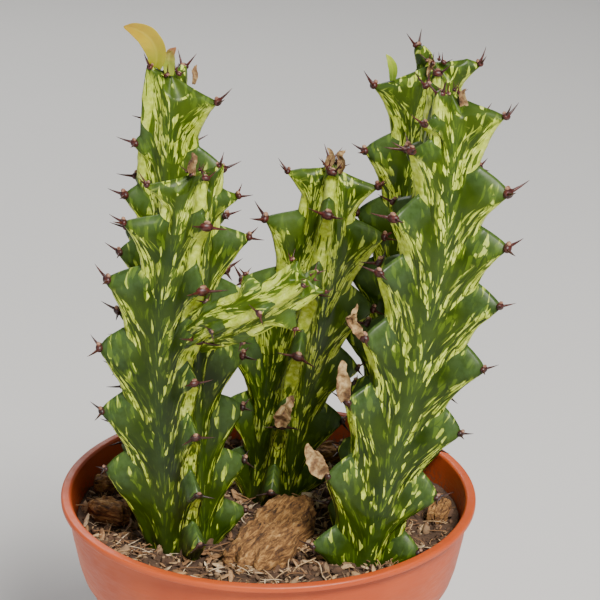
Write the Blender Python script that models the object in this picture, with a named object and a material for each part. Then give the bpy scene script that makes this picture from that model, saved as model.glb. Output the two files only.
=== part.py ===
"""Potted euphorbia: five four-ribbed succulent stems, one side branch, leaves, potting mix and bark
in a thin plastic nursery pot. Metres, +Z up, origin at the middle of the pot's flat underside."""

import math

import bpy
import bmesh
import numpy as np
from mathutils import Vector, noise

MM = 0.001
GAP = 0.3            # clearance between touching pieces
SEAT_GROW = 1.2     # how much wider than its piece a seat is cut, level; sloping sides get less

# Pot, from the rim down
POT_HEIGHT = 80.0
RIM_RADIUS = 52.5
RIM_THICK = 1.6
COLLAR_RADIUS = 51.0
COLLAR_HEIGHT = 17.0
STEP_RADIUS = 45.0
BASE_RADIUS = 36.0
WALL = 1.4
FLOOR = 2.0
POT_SIDES = 40

# Potting mix
SOIL_LEVEL = POT_HEIGHT - 7.0
SOIL_TILT = 0.045    # higher toward the front
SOIL_BUMP = 1.1
SOIL_RINGS = 9
SOIL_SIDES = 40

# Stems: what all of them share
VALLEY_RADIUS = 6.6
TOOTH_DEPTH = 5.6
RIB_HALF_THICK = 2.0
FOLD_DROP = 13.5     # how far a tooth's fold runs down on its way to the valley
BURIED = 9.0
SEAT_TOP = 16.0      # a stem's seat in the potting mix is cut with its foot up to here
ROWS_PER_TOOTH = 5
CROWN_SHOULDER = 1.0     # how far a rib goes on above its last tooth
CROWN_DIP = 3.5          # how far the middle of a crown lies below its highest teeth
CAP_ROWS = 2

# Each stem: centre line with its heights above the mix, then one line per rib with its bearing in
# degrees from +X (or its bearings at foot and crown, where the rib twists), the reach of its teeth at
# the bottom, middle and top, and the tooth stations measured up the centre line.
STEMS = {
    "stem_left_front": dict(
        path=[(-21, -20, 0), (-22, -21, 27), (-22.5, -22, 55), (-19.5, -23.5, 79), (-17, -24, 98)],
        ribs=[
            (14, (16.5, 17.0, 5.0), (8, 22, 36, 50.5, 68, 83, 93, 100)),
            (102, (16, 17, 9), (12, 28, 44, 60, 76, 90)),
            (190, (17.5, 17.6, 11.0), (23.5, 39, 54, 70, 84.5, 94)),
            (292, (15.5, 16.0, 7.0), (8.5, 22, 37, 51.5, 63.5, 75, 89, 99)),
        ],
        length=100.5,
    ),
    "stem_left_rear": dict(
        path=[(-27.5, 8, -1), (-26.5, 5, 37), (-25, 0, 77), (-24, -3, 111)],
        ribs=[
            (338, (14, 16, 12.4), (10, 25, 40, 55, 70, 84, 95.5, 112)),
            ((80, 62), (15, 15, 6), (14, 30, 46, 62, 78, 96, 117)),
            (140, (14.5, 15.0, 6.0), (12, 28, 43, 58, 73, 88, 104)),
            (205, (13.5, 13.0, 5.6), (10, 25, 41, 57, 73, 87.7, 100.5, 119)),
        ],
        length=119.5,
    ),
    "stem_middle": dict(
        path=[(0, 12, -1), (3.5, 11.5, 25), (8.5, 10, 52), (13, 8.5, 75), (14.5, 8, 91)],
        ribs=[
            (2, (15, 17.0, 12.0), (8, 24, 40, 57, 76, 88)),
            (92, (15, 16, 7), (14, 30, 46, 62, 78, 92)),
            (182, (14.0, 17.5, 11.0), (9, 24, 40, 58, 76.5, 90)),
            (268, (15.0, 16, 7.5), (8, 27.5, 47.5, 65, 84, 93)),
        ],
        length=95.0,
    ),
    "stem_right_rear": dict(
        path=[(30, 20, -2), (33, 18.5, 37), (36, 14, 77), (38.5, 8, 116)],
        ribs=[
            (5, (14, 15, 11), (12, 28, 44, 60, 76, 92, 105, 119.5)),
            ((95, 122), (14, 15, 8.5), (8, 24, 40, 56, 72, 88, 103, 120.5)),
            (183, (13, 15.5, 14.5), (10, 27, 44, 61, 78, 95, 112.5)),
            (272, (12, 12, 6.5), (14, 30, 46, 62, 78, 94, 109, 119)),
        ],
        length=122.0,
    ),
    "stem_right_front": dict(
        path=[(24, -24, -1), (28.5, -24, 25), (34.5, -24, 55), (38.5, -24, 85), (40, -24, 115)],
        ribs=[
            (65, (14, 15, 8), (14, 30, 46, 62, 78, 94, 110)),
            (140, (14, 15, 7), (10, 26, 42, 58, 74, 90, 104, 119.5)),
            ((207, 238), (16.0, 17.0, 5.5), (5.5, 24.5, 44, 61.5, 78.5, 92.5, 108.5, 114, 120)),
            (338, (12.8, 17.8, 13.5), (7.5, 23, 41, 57.5, 73, 86.5, 98.5, 116)),
        ],
        length=122.0,
    ),
}

# The side branch grows out of the front rib of stem_left_front and turns upward as it goes right.
BRANCH = dict(
    path=[(-17.5, -29.5, 60), (-12, -36, 65), (-3, -42, 71), (6, -45.5, 78), (12, -47.5, 84.5)],
    ribs=[
        (70, (6, 8.0, 5.0), (16, 29, 39)),
        (155, (6, 8.0, 4.2), (13, 26, 38)),
        (245, (6, 8.5, 4.8), (10, 24, 38)),
        (348, (6, 7.5, 4.2), (13.5, 27, 38.5)),
    ],
    length=39.0,
    slim=0.62,
)


def clear_scene():
    for obj in list(bpy.data.objects):
        bpy.data.objects.remove(obj, do_unlink=True)


def material(name, colour, roughness):
    mat = bpy.data.materials.new(name)
    mat.use_nodes = True
    shader = mat.node_tree.nodes["Principled BSDF"]
    shader.inputs["Base Color"].default_value = (*colour, 1.0)
    shader.inputs["Roughness"].default_value = roughness
    shader.inputs["Metallic"].default_value = 0.0
    return mat


def add_mesh(name, points_mm, faces, mat, smooth_angle=40.0):
    """One named object from points in millimetres, shaded smooth up to the given angle."""
    mesh = bpy.data.meshes.new(name)
    mesh.from_pydata([tuple(float(c) * MM for c in p) for p in points_mm], [], faces)
    mesh.update()
    mesh.shade_smooth()
    mesh.set_sharp_from_angle(angle=math.radians(smooth_angle))
    mesh.materials.append(mat)
    obj = bpy.data.objects.new(name, mesh)
    bpy.context.scene.collection.objects.link(obj)
    return obj


def cut_with(obj, cutter):
    """Leave a cavity the shape of the cutter in obj, with the cutter kept only as a guide."""
    cutter.hide_render = True
    cutter.display_type = "WIRE"
    mod = obj.modifiers.new("seat_" + cutter.name, "BOOLEAN")
    mod.operation = "DIFFERENCE"
    mod.solver = "EXACT"
    mod.object = cutter


# ---------------------------------------------------------------- stems

class CentreLine:
    """Smooth curve through the given points, with a frame that turns as little as it can."""

    def __init__(self, points, side=(1.0, 0.0, 0.0), base=0.0):
        self.points = np.array(points, float) + np.array((0.0, 0.0, base))
        steps = np.linalg.norm(np.diff(self.points, axis=0), axis=1)
        self.knots = np.concatenate([[0.0], np.cumsum(steps)])
        self.side = np.array(side, float)
        self.slopes = np.gradient(self.points, self.knots, axis=0)

    def at(self, s):
        """Position, then the two cross directions and the tangent, at station s."""
        k = self.knots
        inside = min(max(s, 0.0), k[-1])
        i = min(int(np.searchsorted(k, inside, side="right")) - 1, len(k) - 2)
        h = k[i + 1] - k[i]
        t = (inside - k[i]) / h
        p0, p1 = self.points[i], self.points[i + 1]
        m0, m1 = self.slopes[i] * h, self.slopes[i + 1] * h
        pos = (2*t**3 - 3*t**2 + 1)*p0 + (t**3 - 2*t**2 + t)*m0 + (3*t**2 - 2*t**3)*p1 + (t**3 - t**2)*m1
        tan = ((6*t**2 - 6*t)*(p0 - p1) + (3*t**2 - 4*t + 1)*m0 + (3*t**2 - 2*t)*m1) / h
        tan = tan / np.linalg.norm(tan)
        pos = pos + tan * (s - inside)
        across = self.side - tan * float(np.dot(self.side, tan))
        across = across / np.linalg.norm(across)
        return pos, across, np.cross(tan, across), tan


def margin_reach(s, tips, reaches, depth):
    """Distance of a rib's margin from the centre line at station s: a saw of podaria, each with a
    short shoulder above its tip and a long edge sweeping out of the notch below it."""
    if s <= tips[0]:
        low = 0.45 * reaches[0]
        x = max(0.0, (s + BURIED) / (tips[0] + BURIED))
        return low + (reaches[0] - low) * x**2.2
    if s >= tips[-1]:
        return reaches[-1] - (s - tips[-1]) * 3.5
    j = max(i for i, tip in enumerate(tips) if tip <= s)
    pitch = tips[j + 1] - tips[j]
    x = (s - tips[j]) / pitch
    sunk = min(depth, 0.45 * min(reaches[j], reaches[j + 1]) + 0.1 * pitch)
    notch = min(reaches[j], reaches[j + 1]) - sunk
    if x < 0.30:
        return reaches[j] + (notch - reaches[j]) * (x / 0.30)**1.5
    y = (x - 0.30) / 0.70
    return notch + (reaches[j + 1] - notch) * (0.40 * y + 0.60 * y**2.2)


def rib_reaches(rib):
    """Reach of each tooth of a rib, blended from its bottom, middle and top values."""
    _, (low, mid, top), tips = rib
    n = len(tips)
    values = []
    for j in range(n):
        x = j / (n - 1)
        if x < 0.5:
            values.append(low + (mid - low) * (x / 0.5))
        else:
            values.append(mid + (top - mid) * ((x - 0.5) / 0.5)**2)
    return values


def rib_rows(tips, count, start, end):
    """Stations of one rib's rows: even along the stem, moved a little so that rows land on the tips
    and the notches. A rib ends just above its last tooth."""
    end = min(end, tips[-1] + CROWN_SHOULDER)
    span = end - start
    keys = [(0, start)]
    for j, tip in enumerate(tips):
        row = min(round(count * (tip - start) / span), count - 1)
        keys.append((row, tip))
        if j + 1 < len(tips):
            pitch = tips[j + 1] - tip
            following = round(count * (tips[j + 1] - start) / span)
            keys.append((row + max(1, round(0.34 * (following - row))), tip + 0.30 * pitch))
    keys.append((count, end))
    rows = {}
    for row, station in keys:
        if 0 < row < count or station in (start, end):
            rows[row] = station
    order = sorted(rows)
    return np.interp(range(count + 1), order, [rows[r] for r in order])


def section_point(reach, valley, half_angle, part, thick):
    """One point of the section between a rib and the valley beside it, as distance along the rib's
    bearing and distance to the side. Part runs from 0 at the margin to 1 in the valley."""
    cap = min(2.2, 0.3 * reach)
    if part < 0.2:
        a = 0.5 * math.pi * part / 0.2
        return reach - cap + cap * math.cos(a), thick * math.sin(a)
    t = (part - 0.2) / 0.8
    end_along = valley * math.cos(half_angle)
    end_side = valley * math.sin(half_angle)
    pull = min(0.38 * valley, (end_side - 0.9 * thick) / math.cos(half_angle))
    points = (
        (reach - cap, thick),
        (end_along + 0.42 * (reach - cap - end_along), thick + 0.5),
        (end_along + pull * math.sin(half_angle), end_side - pull * math.cos(half_angle)),
        (end_along, end_side),
    )
    weights = ((1 - t)**3, 3*t*(1 - t)**2, 3*t**2*(1 - t), t**3)
    along = sum(w * p[0] for w, p in zip(weights, points))
    side = sum(w * p[1] for w, p in zip(weights, points))
    return along, side


def rib_bearing(rib, x):
    """Bearing of a rib in radians at x, from 0 at the foot to 1 at the crown."""
    low, high = rib[0] if isinstance(rib[0], tuple) else (rib[0], rib[0])
    return math.radians(low + (high - low) * min(1.0, max(0.0, x))**2)


def stem_points(spec, grow=0.0, bottom=-BURIED, side=(1.0, 0.0, 0.0), upto=None):
    """Rings of points up a stem, made wider by grow, closed at the foot and at the crown. With upto,
    only the lower part, as far as that station."""
    line = CentreLine(spec["path"], side, SOIL_LEVEL)
    length = spec["length"]
    ribs = spec["ribs"]
    count = int(round((length - bottom) / 16.0 * ROWS_PER_TOOTH))
    stations = [rib_rows(rib[2], count, bottom, length) for rib in ribs]
    even = np.linspace(bottom, length, count + 1)
    reaches = [rib_reaches(rib) for rib in ribs]
    parts = (0.0, 0.2, 0.6)
    slim = VALLEY_RADIUS * spec.get("slim", 1.0)
    rings = []
    for i in range(count + 1):
        fade = min(1.0, max(0.0, (even[i] - bottom) / 14.0))
        sunk = min(1.0, max(0.0, (even[i] - bottom) / 32.0))
        drop = FOLD_DROP * spec.get("slim", 1.0) * sunk * (0.5 + 0.5 * min(1.0, (length - even[i]) / 30.0))
        crown = min(1.0, max(0.0, (length - even[i]) / 22.0))
        valley = slim * (0.62 + 0.38 * crown**0.6) * (0.8 + 0.2 * fade) + grow
        ring = []
        for k, rib in enumerate(ribs):
            after = (k + 1) % len(ribs)
            before = (k - 1) % len(ribs)
            bearing = rib_bearing(rib, even[i] / length)
            gap_after = (rib_bearing(ribs[after], even[i] / length) - bearing) % (2 * math.pi) / 2
            gap_before = (bearing - rib_bearing(ribs[before], even[i] / length)) % (2 * math.pi) / 2
            station = stations[k][i]
            reach = margin_reach(station, rib[2], reaches[k], TOOTH_DEPTH * spec.get("slim", 1.0))
            reach = max(reach + grow, valley + 1.5)
            thick = RIB_HALF_THICK * (0.75 + 0.25 * crown) * spec.get("slim", 1.0) + grow
            columns = [(-p, gap_before) for p in reversed(parts[1:])]
            columns += [(p, gap_after) for p in parts]
            for part, half in columns:
                deep = filled_valley(valley, thick, half)
                along, aside = section_point(reach, deep, half, abs(part), thick)
                aside = math.copysign(aside, part) if part else 0.0
                ring.append(column_point(line, bearing, along, aside, station, even[i], abs(part),
                                         drop))
            turn = bearing + gap_after
            deep = filled_valley(valley, thick, gap_after)
            ring.append(column_point(line, turn, deep, 0.0, station, even[i], 1.0, drop))
        rings.append(ring)
    if upto is not None:
        rings = rings[:int(np.searchsorted(even, upto)) + 1]
    below = line.at(bottom)[3] * grow
    rings[0] = [p - below for p in rings[0]]
    foot = line.at(bottom - grow)[0]
    edge = rings[-1]
    top = line.at(length - CROWN_DIP * spec.get("slim", 1.0))[0]
    if upto is not None:
        top = np.mean(edge, axis=0)
    for c in range(1, CAP_ROWS + 1):
        k = 1.0 - c / (CAP_ROWS + 1)
        rings.append([top + (p - top) * k for p in edge])
    return rings, foot, top


def filled_valley(valley, thick, half_angle):
    """Valley radius between two ribs, filled up where the ribs stand close together."""
    return max(valley, (thick + 1.1) / math.sin(half_angle))


def column_point(line, bearing, along, aside, station, even, part, drop):
    """Place one section point: rows run level with the teeth at the margin, even in the valley, and
    sink toward the valley by the fold's drop."""
    s = station + (even - station) * part - drop * (1.0 - (1.0 - part)**1.6)
    pos, across, ahead, _ = line.at(s)
    x = along * math.cos(bearing) - aside * math.sin(bearing)
    y = along * math.sin(bearing) + aside * math.cos(bearing)
    return pos + across * x + ahead * y


def ring_faces(rows, columns):
    """Faces of a closed skin of rings, with one point under the first ring and one in the last."""
    faces = []
    for i in range(rows - 1):
        for c in range(columns):
            d = (c + 1) % columns
            faces.append((i*columns + c, i*columns + d, (i + 1)*columns + d, (i + 1)*columns + c))
    foot, top = rows * columns, rows * columns + 1
    last = (rows - 1) * columns
    for c in range(columns):
        d = (c + 1) % columns
        faces.append((foot, d, c))
        faces.append((top, last + c, last + d))
    return faces


def add_stem(name, spec, mat, **kwargs):
    rings, foot, top = stem_points(spec, **kwargs)
    points = [p for ring in rings for p in ring] + [foot, top]
    return add_mesh(name, points, ring_faces(len(rings), len(rings[0])), mat, 60.0)


# ---------------------------------------------------------------- pot and potting mix

COLLAR_FOOT = POT_HEIGHT - COLLAR_HEIGHT
OUTER = [
    (BASE_RADIUS - 1.5, 0.0), (BASE_RADIUS, 1.5),
    (STEP_RADIUS - 0.8, COLLAR_FOOT - 11.0), (STEP_RADIUS - 0.2, COLLAR_FOOT - 7.6),
    (STEP_RADIUS + 1.0, COLLAR_FOOT - 5.6), (STEP_RADIUS + 2.4, COLLAR_FOOT - 3.3),
    (STEP_RADIUS + 3.4, COLLAR_FOOT), (COLLAR_RADIUS - 1.0, COLLAR_FOOT + 0.49 * COLLAR_HEIGHT),
    (COLLAR_RADIUS - 0.4, POT_HEIGHT - RIM_THICK),
]
LIP = [
    (RIM_RADIUS - 0.2, POT_HEIGHT - RIM_THICK), (RIM_RADIUS, POT_HEIGHT - 0.8 * RIM_THICK),
    (RIM_RADIUS, POT_HEIGHT - 0.25 * RIM_THICK), (RIM_RADIUS - 0.4, POT_HEIGHT),
    (RIM_RADIUS - 2.1, POT_HEIGHT), (RIM_RADIUS - 2.6, POT_HEIGHT - 0.5),
]
INNER = [(r - WALL, z + 0.25 * WALL) for r, z in reversed(OUTER[2:-1])] + [(BASE_RADIUS - WALL, FLOOR)]


def lathe_rings(profile, sides):
    rings = []
    for r, z in profile:
        angles = [2 * math.pi * k / sides for k in range(sides)]
        rings.append([np.array((r * math.cos(a), r * math.sin(a), z)) for a in angles])
    return rings


def add_rings(name, rings, foot, top, mat, angle=40.0):
    points = [p for ring in rings for p in ring] + [np.array(foot), np.array(top)]
    return add_mesh(name, points, ring_faces(len(rings), len(rings[0])), mat, angle)


def add_pot(mat):
    rings = lathe_rings(OUTER + LIP + INNER, POT_SIDES)
    return add_rings("pot", rings, (0, 0, 0), (0, 0, FLOOR), mat)


def inner_radius(z):
    heights = [p[1] for p in reversed(INNER)]
    radii = [p[0] for p in reversed(INNER)]
    return float(np.interp(z, heights, radii))


def soil_height(x, y):
    bump = noise.noise(Vector((x / 9.0, y / 9.0, 3.1))) + 0.5 * noise.noise(Vector((x / 4.0, y / 4.0, 8.7)))
    return SOIL_LEVEL - SOIL_TILT * y + SOIL_BUMP * bump


def add_potting_mix(mat):
    low, high = FLOOR + GAP, SOIL_LEVEL - 6.0
    wall = [low + (high - low) * x for x in (0.0, 0.27, 0.58, 0.83, 0.89, 0.945, 1.0)]
    facet = math.cos(math.pi / SOIL_SIDES)
    profile = [((inner_radius(z) - GAP - 0.15) * facet, z) for z in wall]
    rings = lathe_rings(profile, SOIL_SIDES)
    edge = inner_radius(SOIL_LEVEL - 3.0) * facet - GAP - 0.3
    for k in range(SOIL_RINGS):
        r = edge * (1.0 - k / SOIL_RINGS)
        ring = []
        for p in lathe_rings([(r, 0.0)], SOIL_SIDES)[0]:
            ring.append(np.array((p[0], p[1], soil_height(p[0], p[1]))))
        rings.append(ring)
    return add_rings("potting_mix", rings, (0, 0, FLOOR + GAP), (0, 0, soil_height(0, 0)), mat)


# ---------------------------------------------------------------- leaves

def add_leaf(name, path, width, thick, mat, face=(0, -1, 0), curl=0.0, rows=7):
    """A thin closed leaf along a curved midrib: widest below the middle, six points to a section."""
    line = CentreLine(path, face)
    length = line.knots[-1]
    rings = []
    for i in range(rows):
        x = (i + 0.35) / (rows - 0.3)
        half = 0.5 * width * math.sin(math.pi * x**0.8)**0.75
        deep = 0.5 * thick * (0.55 + 0.45 * math.sin(math.pi * x))
        pos, out, aside, _ = line.at(length * x)
        lift = curl * half
        section = ((1.0, 0.0, lift), (0.45, 1.0, 0.2 * lift), (-0.45, 1.0, 0.2 * lift),
                   (-1.0, 0.0, lift), (-0.45, -1.0, 0.2 * lift), (0.45, -1.0, 0.2 * lift))
        rings.append([pos + aside * (half * u) + out * (deep * v + w) for u, v, w in section])
    foot = line.at(0.0)[0]
    tip = line.at(length)[0]
    return add_oriented(name, rings, foot, tip, mat)


def add_oriented(name, rings, foot, tip, mat):
    """Add a closed ring body and turn its faces outward whichever way its rings run."""
    obj = add_rings(name, rings, foot, tip, mat, 50.0)
    bm = bmesh.new()
    bm.from_mesh(obj.data)
    bmesh.ops.recalc_face_normals(bm, faces=bm.faces)
    if bm.calc_volume(signed=True) < 0:
        bmesh.ops.reverse_faces(bm, faces=bm.faces)
    bm.to_mesh(obj.data)
    bm.free()
    return obj


# Name, then the stem, rib, station and standing-off distance of its root, then its midrib from there,
# its width, thickness, facing and curl
GREEN_LEAVES = [
    ("leaf_yellow", ("stem_left_rear", 3, 119.0, 0.0),
     [(1.4, 0.8, 1.7), (1.9, 0.5, 3.2), (1.5, 0.2, 5.0), (-0.1, 0.1, 7.2), (-2.6, 0.2, 8.6),
      (-5.8, 0.5, 9.3)],
     4.6, 1.0, (-0.25, -1.0, 0.1), 0.3),
    ("leaf_young", ("stem_left_rear", 3, 119.0, 0.0),
     [(4.8, 1.4, -1.2), (4.5, 1.0, 1.0), (5.0, 0.6, 3.2), (6.3, 0.4, 4.8)],
     3.0, 0.9, (0.2, -1, 0.1), 0.5),
    ("leaf_small_green", ("stem_right_rear", 2, 112.5, 0.0),
     [(4.6, -0.4, 2.0), (4.6, -0.7, 4.2), (3.9, -0.8, 6.2), (2.9, -0.8, 7.8)],
     2.2, 0.9, (0.3, -1, 0.2), 0.4),
]
DRIED_LEAVES = [
    ("dried_leaf_upper", ("stem_right_front", 2, 61.5, 0.4),
     [(-0.4, -0.4, 0.4), (-1.6, -1.3, 2.5), (-2.6, -1.8, 5.3), (-1.6, -1.8, 8.9)],
     3.0, 1.1, (0.4, -1, 0.1), 0.5),
    ("dried_leaf_middle", ("stem_right_front", 2, 44.0, 0.4),
     [(-0.3, -0.3, 0.4), (-0.9, -1.2, 4.0), (-1.2, -1.6, 7.4), (-0.9, -1.4, 11.0)],
     3.6, 1.2, (0.3, -1, 0.0), 0.5),
    ("dried_leaf_lower", ("stem_right_front", 2, 24.5, 0.4),
     [(-0.2, -0.2, 0.4), (-1.8, -1.0, 2.4), (-3.2, -1.4, 5.2), (-4.4, -1.4, 8.4)],
     4.2, 1.4, (0.3, -1, 0.0), 0.45),
    ("dried_leaf_middle_stem", ("stem_middle", 3, 27.5, 0.4),
     [(0, -0.6, 0.4), (0, -1.2, 3.4), (1.4, -1.7, 6.4), (2.6, -1.6, 9.0)],
     3.8, 1.1, (0.0, -1, 0.1), 0.5),
]


def margin_point(stem, rib_index, station, off):
    """A point standing off from the margin of one rib, at a station up its stem."""
    spec = STEMS[stem]
    rib = spec["ribs"][rib_index]
    bearing = rib_bearing(rib, station / spec["length"])
    reach = margin_reach(station, rib[2], rib_reaches(rib), TOOTH_DEPTH) + off
    pos, across, ahead, _ = CentreLine(spec["path"], base=SOIL_LEVEL).at(station)
    return pos + across * (reach * math.cos(bearing)) + ahead * (reach * math.sin(bearing))


# ---------------------------------------------------------------- bark

# Name, centre with its height above the mix, length, width, thickness, turn about Z, tilt, number of corners
BARK = [
    ("bark_chunk", (1.5, -20.0, 2.4), 36.0, 15.0, 9.0, 66.0, 3.0, 9),
    ("bark_piece_left", (-39.6, -5.5, 2), 12.0, 7.0, 5.0, -32.0, 5.0, 7),
    ("bark_piece_rim", (-42.6, 11.5, 1.2), 6.0, 4.6, 4.0, 20.0, 0.0, 7),
    ("bark_piece_rear", (12.0, 35.0, 0), 14.0, 9.0, 5.0, 15.0, -4.0, 8),
    ("bark_piece_right", (43.5, -1.0, 1.5), 8.0, 5.0, 4.0, 70.0, 5.0, 7),
]


def bark_rings(spec, grow=0.0):
    """A broken chip: an uneven outline, slightly smaller at the top and bottom."""
    _, centre, length, width, thick, turn, tilt, corners = spec
    seed = centre[0] * 0.37 + centre[1] * 0.11
    turn, tilt = math.radians(turn), math.radians(tilt)
    rings = []
    for level, shrink in ((-0.5, 0.78), (-0.2, 1.0), (0.25, 1.0), (0.5, 0.82)):
        ring = []
        for k in range(corners * 2):
            a = math.pi * k / corners
            rough = 1.0 + 0.22 * noise.noise(Vector((math.cos(a) * 2.1, math.sin(a) * 2.1, seed)))
            square = 1.0 / max(abs(math.cos(a)), abs(math.sin(a)))**0.55
            u = 0.5 * length * rough * square * shrink * math.cos(a)
            v = 0.5 * width * rough * square * shrink * math.sin(a)
            size = math.hypot(u, v)
            u, v = u * (size + grow) / size, v * (size + grow) / size
            w = level * (thick + 2 * grow) + u * math.sin(tilt)
            w += 0.5 * noise.noise(Vector((u * 0.2, v * 0.2, seed + level)))
            x = centre[0] + u * math.cos(turn) - v * math.sin(turn)
            y = centre[1] + u * math.sin(turn) + v * math.cos(turn)
            ring.append(np.array((x, y, SOIL_LEVEL + centre[2] + w)))
        rings.append(ring)
    return rings


def add_bark(name, spec, mat, grow=0.0):
    rings = bark_rings(spec, grow)
    foot = np.mean(rings[0], axis=0)
    top = np.mean(rings[-1], axis=0)
    return add_rings(name, rings, foot, top, mat, 25.0)


# ---------------------------------------------------------------- assembly

def build():
    clear_scene()
    plastic = material("terracotta_plastic", (0.62, 0.13, 0.045), 0.45)
    mix = material("potting_mix", (0.09, 0.05, 0.03), 0.95)
    green = material("variegated_stem", (0.16, 0.28, 0.05), 0.42)
    bark = material("bark", (0.36, 0.16, 0.06), 0.9)
    leaf = material("leaf", (0.55, 0.42, 0.04), 0.5)
    dried = material("dried_leaf", (0.42, 0.27, 0.14), 0.9)

    add_pot(plastic)
    soil = add_potting_mix(mix)
    for name, spec in STEMS.items():
        add_stem(name, spec, green)
        cut_with(soil, add_stem("seat_" + name, spec, mix, grow=SEAT_GROW, upto=SEAT_TOP))
    branch = add_stem("side_branch", BRANCH, green, bottom=0.0, side=(0.3, -1.0, 0.2))
    parent = STEMS["stem_left_front"]
    cut_with(branch, add_stem("seat_side_branch", parent, green, grow=SEAT_GROW))

    for spec in BARK:
        add_bark(spec[0], spec, bark)
        cut_with(soil, add_bark("seat_" + spec[0], spec, mix, grow=SEAT_GROW))
    for leaves, mat in ((GREEN_LEAVES, leaf), (DRIED_LEAVES, dried)):
        for name, root, midrib, width, thick, face, curl in leaves:
            start = margin_point(*root)
            add_leaf(name, [start + np.array(p) for p in midrib], width, thick, mat, face, curl)


build()
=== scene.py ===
"""Potted euphorbia: the finished surfaces of the plant, its potting mix, bark and pot."""

import math

import bmesh
import bpy
import numpy as np
from mathutils import Matrix, Vector, noise


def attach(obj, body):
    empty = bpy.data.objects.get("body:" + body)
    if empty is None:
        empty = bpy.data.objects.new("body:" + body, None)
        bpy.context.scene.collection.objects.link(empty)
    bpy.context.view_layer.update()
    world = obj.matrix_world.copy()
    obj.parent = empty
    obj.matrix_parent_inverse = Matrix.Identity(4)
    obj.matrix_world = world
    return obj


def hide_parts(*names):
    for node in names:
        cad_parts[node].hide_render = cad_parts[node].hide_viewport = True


MM = 0.001

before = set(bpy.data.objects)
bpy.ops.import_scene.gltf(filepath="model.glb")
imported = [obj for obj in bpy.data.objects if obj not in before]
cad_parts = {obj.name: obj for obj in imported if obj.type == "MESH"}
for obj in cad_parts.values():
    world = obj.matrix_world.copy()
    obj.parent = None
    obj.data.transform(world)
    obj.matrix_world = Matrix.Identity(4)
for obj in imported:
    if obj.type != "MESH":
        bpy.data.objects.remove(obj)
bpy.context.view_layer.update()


# ---------------------------------------------------------------- sizes shared with the solid part

POT_HEIGHT = 80.0
RIM_RADIUS = 52.5
RIM_THICK = 1.6
COLLAR_RADIUS = 51.0
COLLAR_HEIGHT = 17.0
STEP_RADIUS = 45.0
BASE_RADIUS = 36.0
WALL = 1.4
FLOOR = 2.0

SOIL_LEVEL = 73.0
SOIL_TILT = 0.045
SOIL_BUMP = 1.1

VALLEY_RADIUS = 6.6
TOOTH_DEPTH = 5.6
RIB_HALF_THICK = 2.0
FOLD_DROP = 13.5
BURIED = 9.0
CROWN_SHOULDER = 1.0
CROWN_DIP = 3.5

# Each stem: centre line, then one line per rib with its bearing (or its bearings at foot and crown),
# the reach of its teeth at the bottom, middle and top, and the stations of its teeth.
# Cream is how much of the skin has no green in it, fresh how yellow the green is.
STEMS = {
    "stem_left_front": dict(
        path=[(-21, -20, 73), (-22, -21, 100), (-22.5, -22, 128), (-19.5, -23.5, 152), (-17, -24, 171)],
        ribs=[
            (14, (16.5, 17.0, 5.0), (8, 22, 36, 50.5, 68, 83, 93, 100)),
            (102, (16, 17, 9), (12, 28, 44, 60, 76, 90)),
            (190, (17.5, 17.6, 11.0), (23.5, 39, 54, 70, 84.5, 94)),
            (292, (15.5, 16.0, 7.0), (8.5, 22, 37, 51.5, 63.5, 75, 89, 99)),
        ],
        length=100.5, cream=-0.12, fresh=0.1,
    ),
    "stem_left_rear": dict(
        path=[(-27.5, 8, 72), (-26.5, 5, 110), (-25, 0, 150), (-24, -3, 184)],
        ribs=[
            (338, (14, 16, 12.4), (10, 25, 40, 55, 70, 84, 95.5, 112)),
            ((80, 62), (15, 15, 6), (14, 30, 46, 62, 78, 96, 117)),
            (140, (14.5, 15.0, 6.0), (12, 28, 43, 58, 73, 88, 104)),
            (205, (13.5, 13.0, 5.6), (10, 25, 41, 57, 73, 87.7, 100.5, 119)),
        ],
        length=119.5, cream=0.0, fresh=0.35,
    ),
    "stem_middle": dict(
        path=[(0, 12, 72), (3.5, 11.5, 98), (8.5, 10, 125), (13, 8.5, 148), (14.5, 8, 164)],
        ribs=[
            (2, (15, 17.0, 12.0), (8, 24, 40, 57, 76, 88)),
            (92, (15, 16, 7), (14, 30, 46, 62, 78, 92)),
            (182, (14.0, 17.5, 11.0), (9, 24, 40, 58, 76.5, 90)),
            (268, (15.0, 16, 7.5), (8, 27.5, 47.5, 65, 84, 93)),
        ],
        length=95.0, cream=0.12, fresh=0.45,
    ),
    "stem_right_rear": dict(
        path=[(30, 20, 71), (33, 18.5, 110), (36, 14, 150), (38.5, 8, 189)],
        ribs=[
            (5, (14, 15, 11), (12, 28, 44, 60, 76, 92, 105, 119.5)),
            ((95, 122), (14, 15, 8.5), (8, 24, 40, 56, 72, 88, 103, 120.5)),
            (183, (13, 15.5, 14.5), (10, 27, 44, 61, 78, 95, 112.5)),
            (272, (12, 12, 6.5), (14, 30, 46, 62, 78, 94, 109, 119)),
        ],
        length=122.0, cream=-0.02, fresh=0.15,
    ),
    "stem_right_front": dict(
        path=[(24, -24, 72), (28.5, -24, 98), (34.5, -24, 128), (38.5, -24, 158), (40, -24, 188)],
        ribs=[
            (65, (14, 15, 8), (14, 30, 46, 62, 78, 94, 110)),
            (140, (14, 15, 7), (10, 26, 42, 58, 74, 90, 104, 119.5)),
            ((207, 238), (16.0, 17.0, 5.5), (5.5, 24.5, 44, 61.5, 78.5, 92.5, 108.5, 114, 120)),
            (338, (12.8, 17.8, 13.5), (7.5, 23, 41, 57.5, 73, 86.5, 98.5, 116)),
        ],
        length=122.0, cream=0.0, fresh=0.15,
    ),
}
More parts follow.
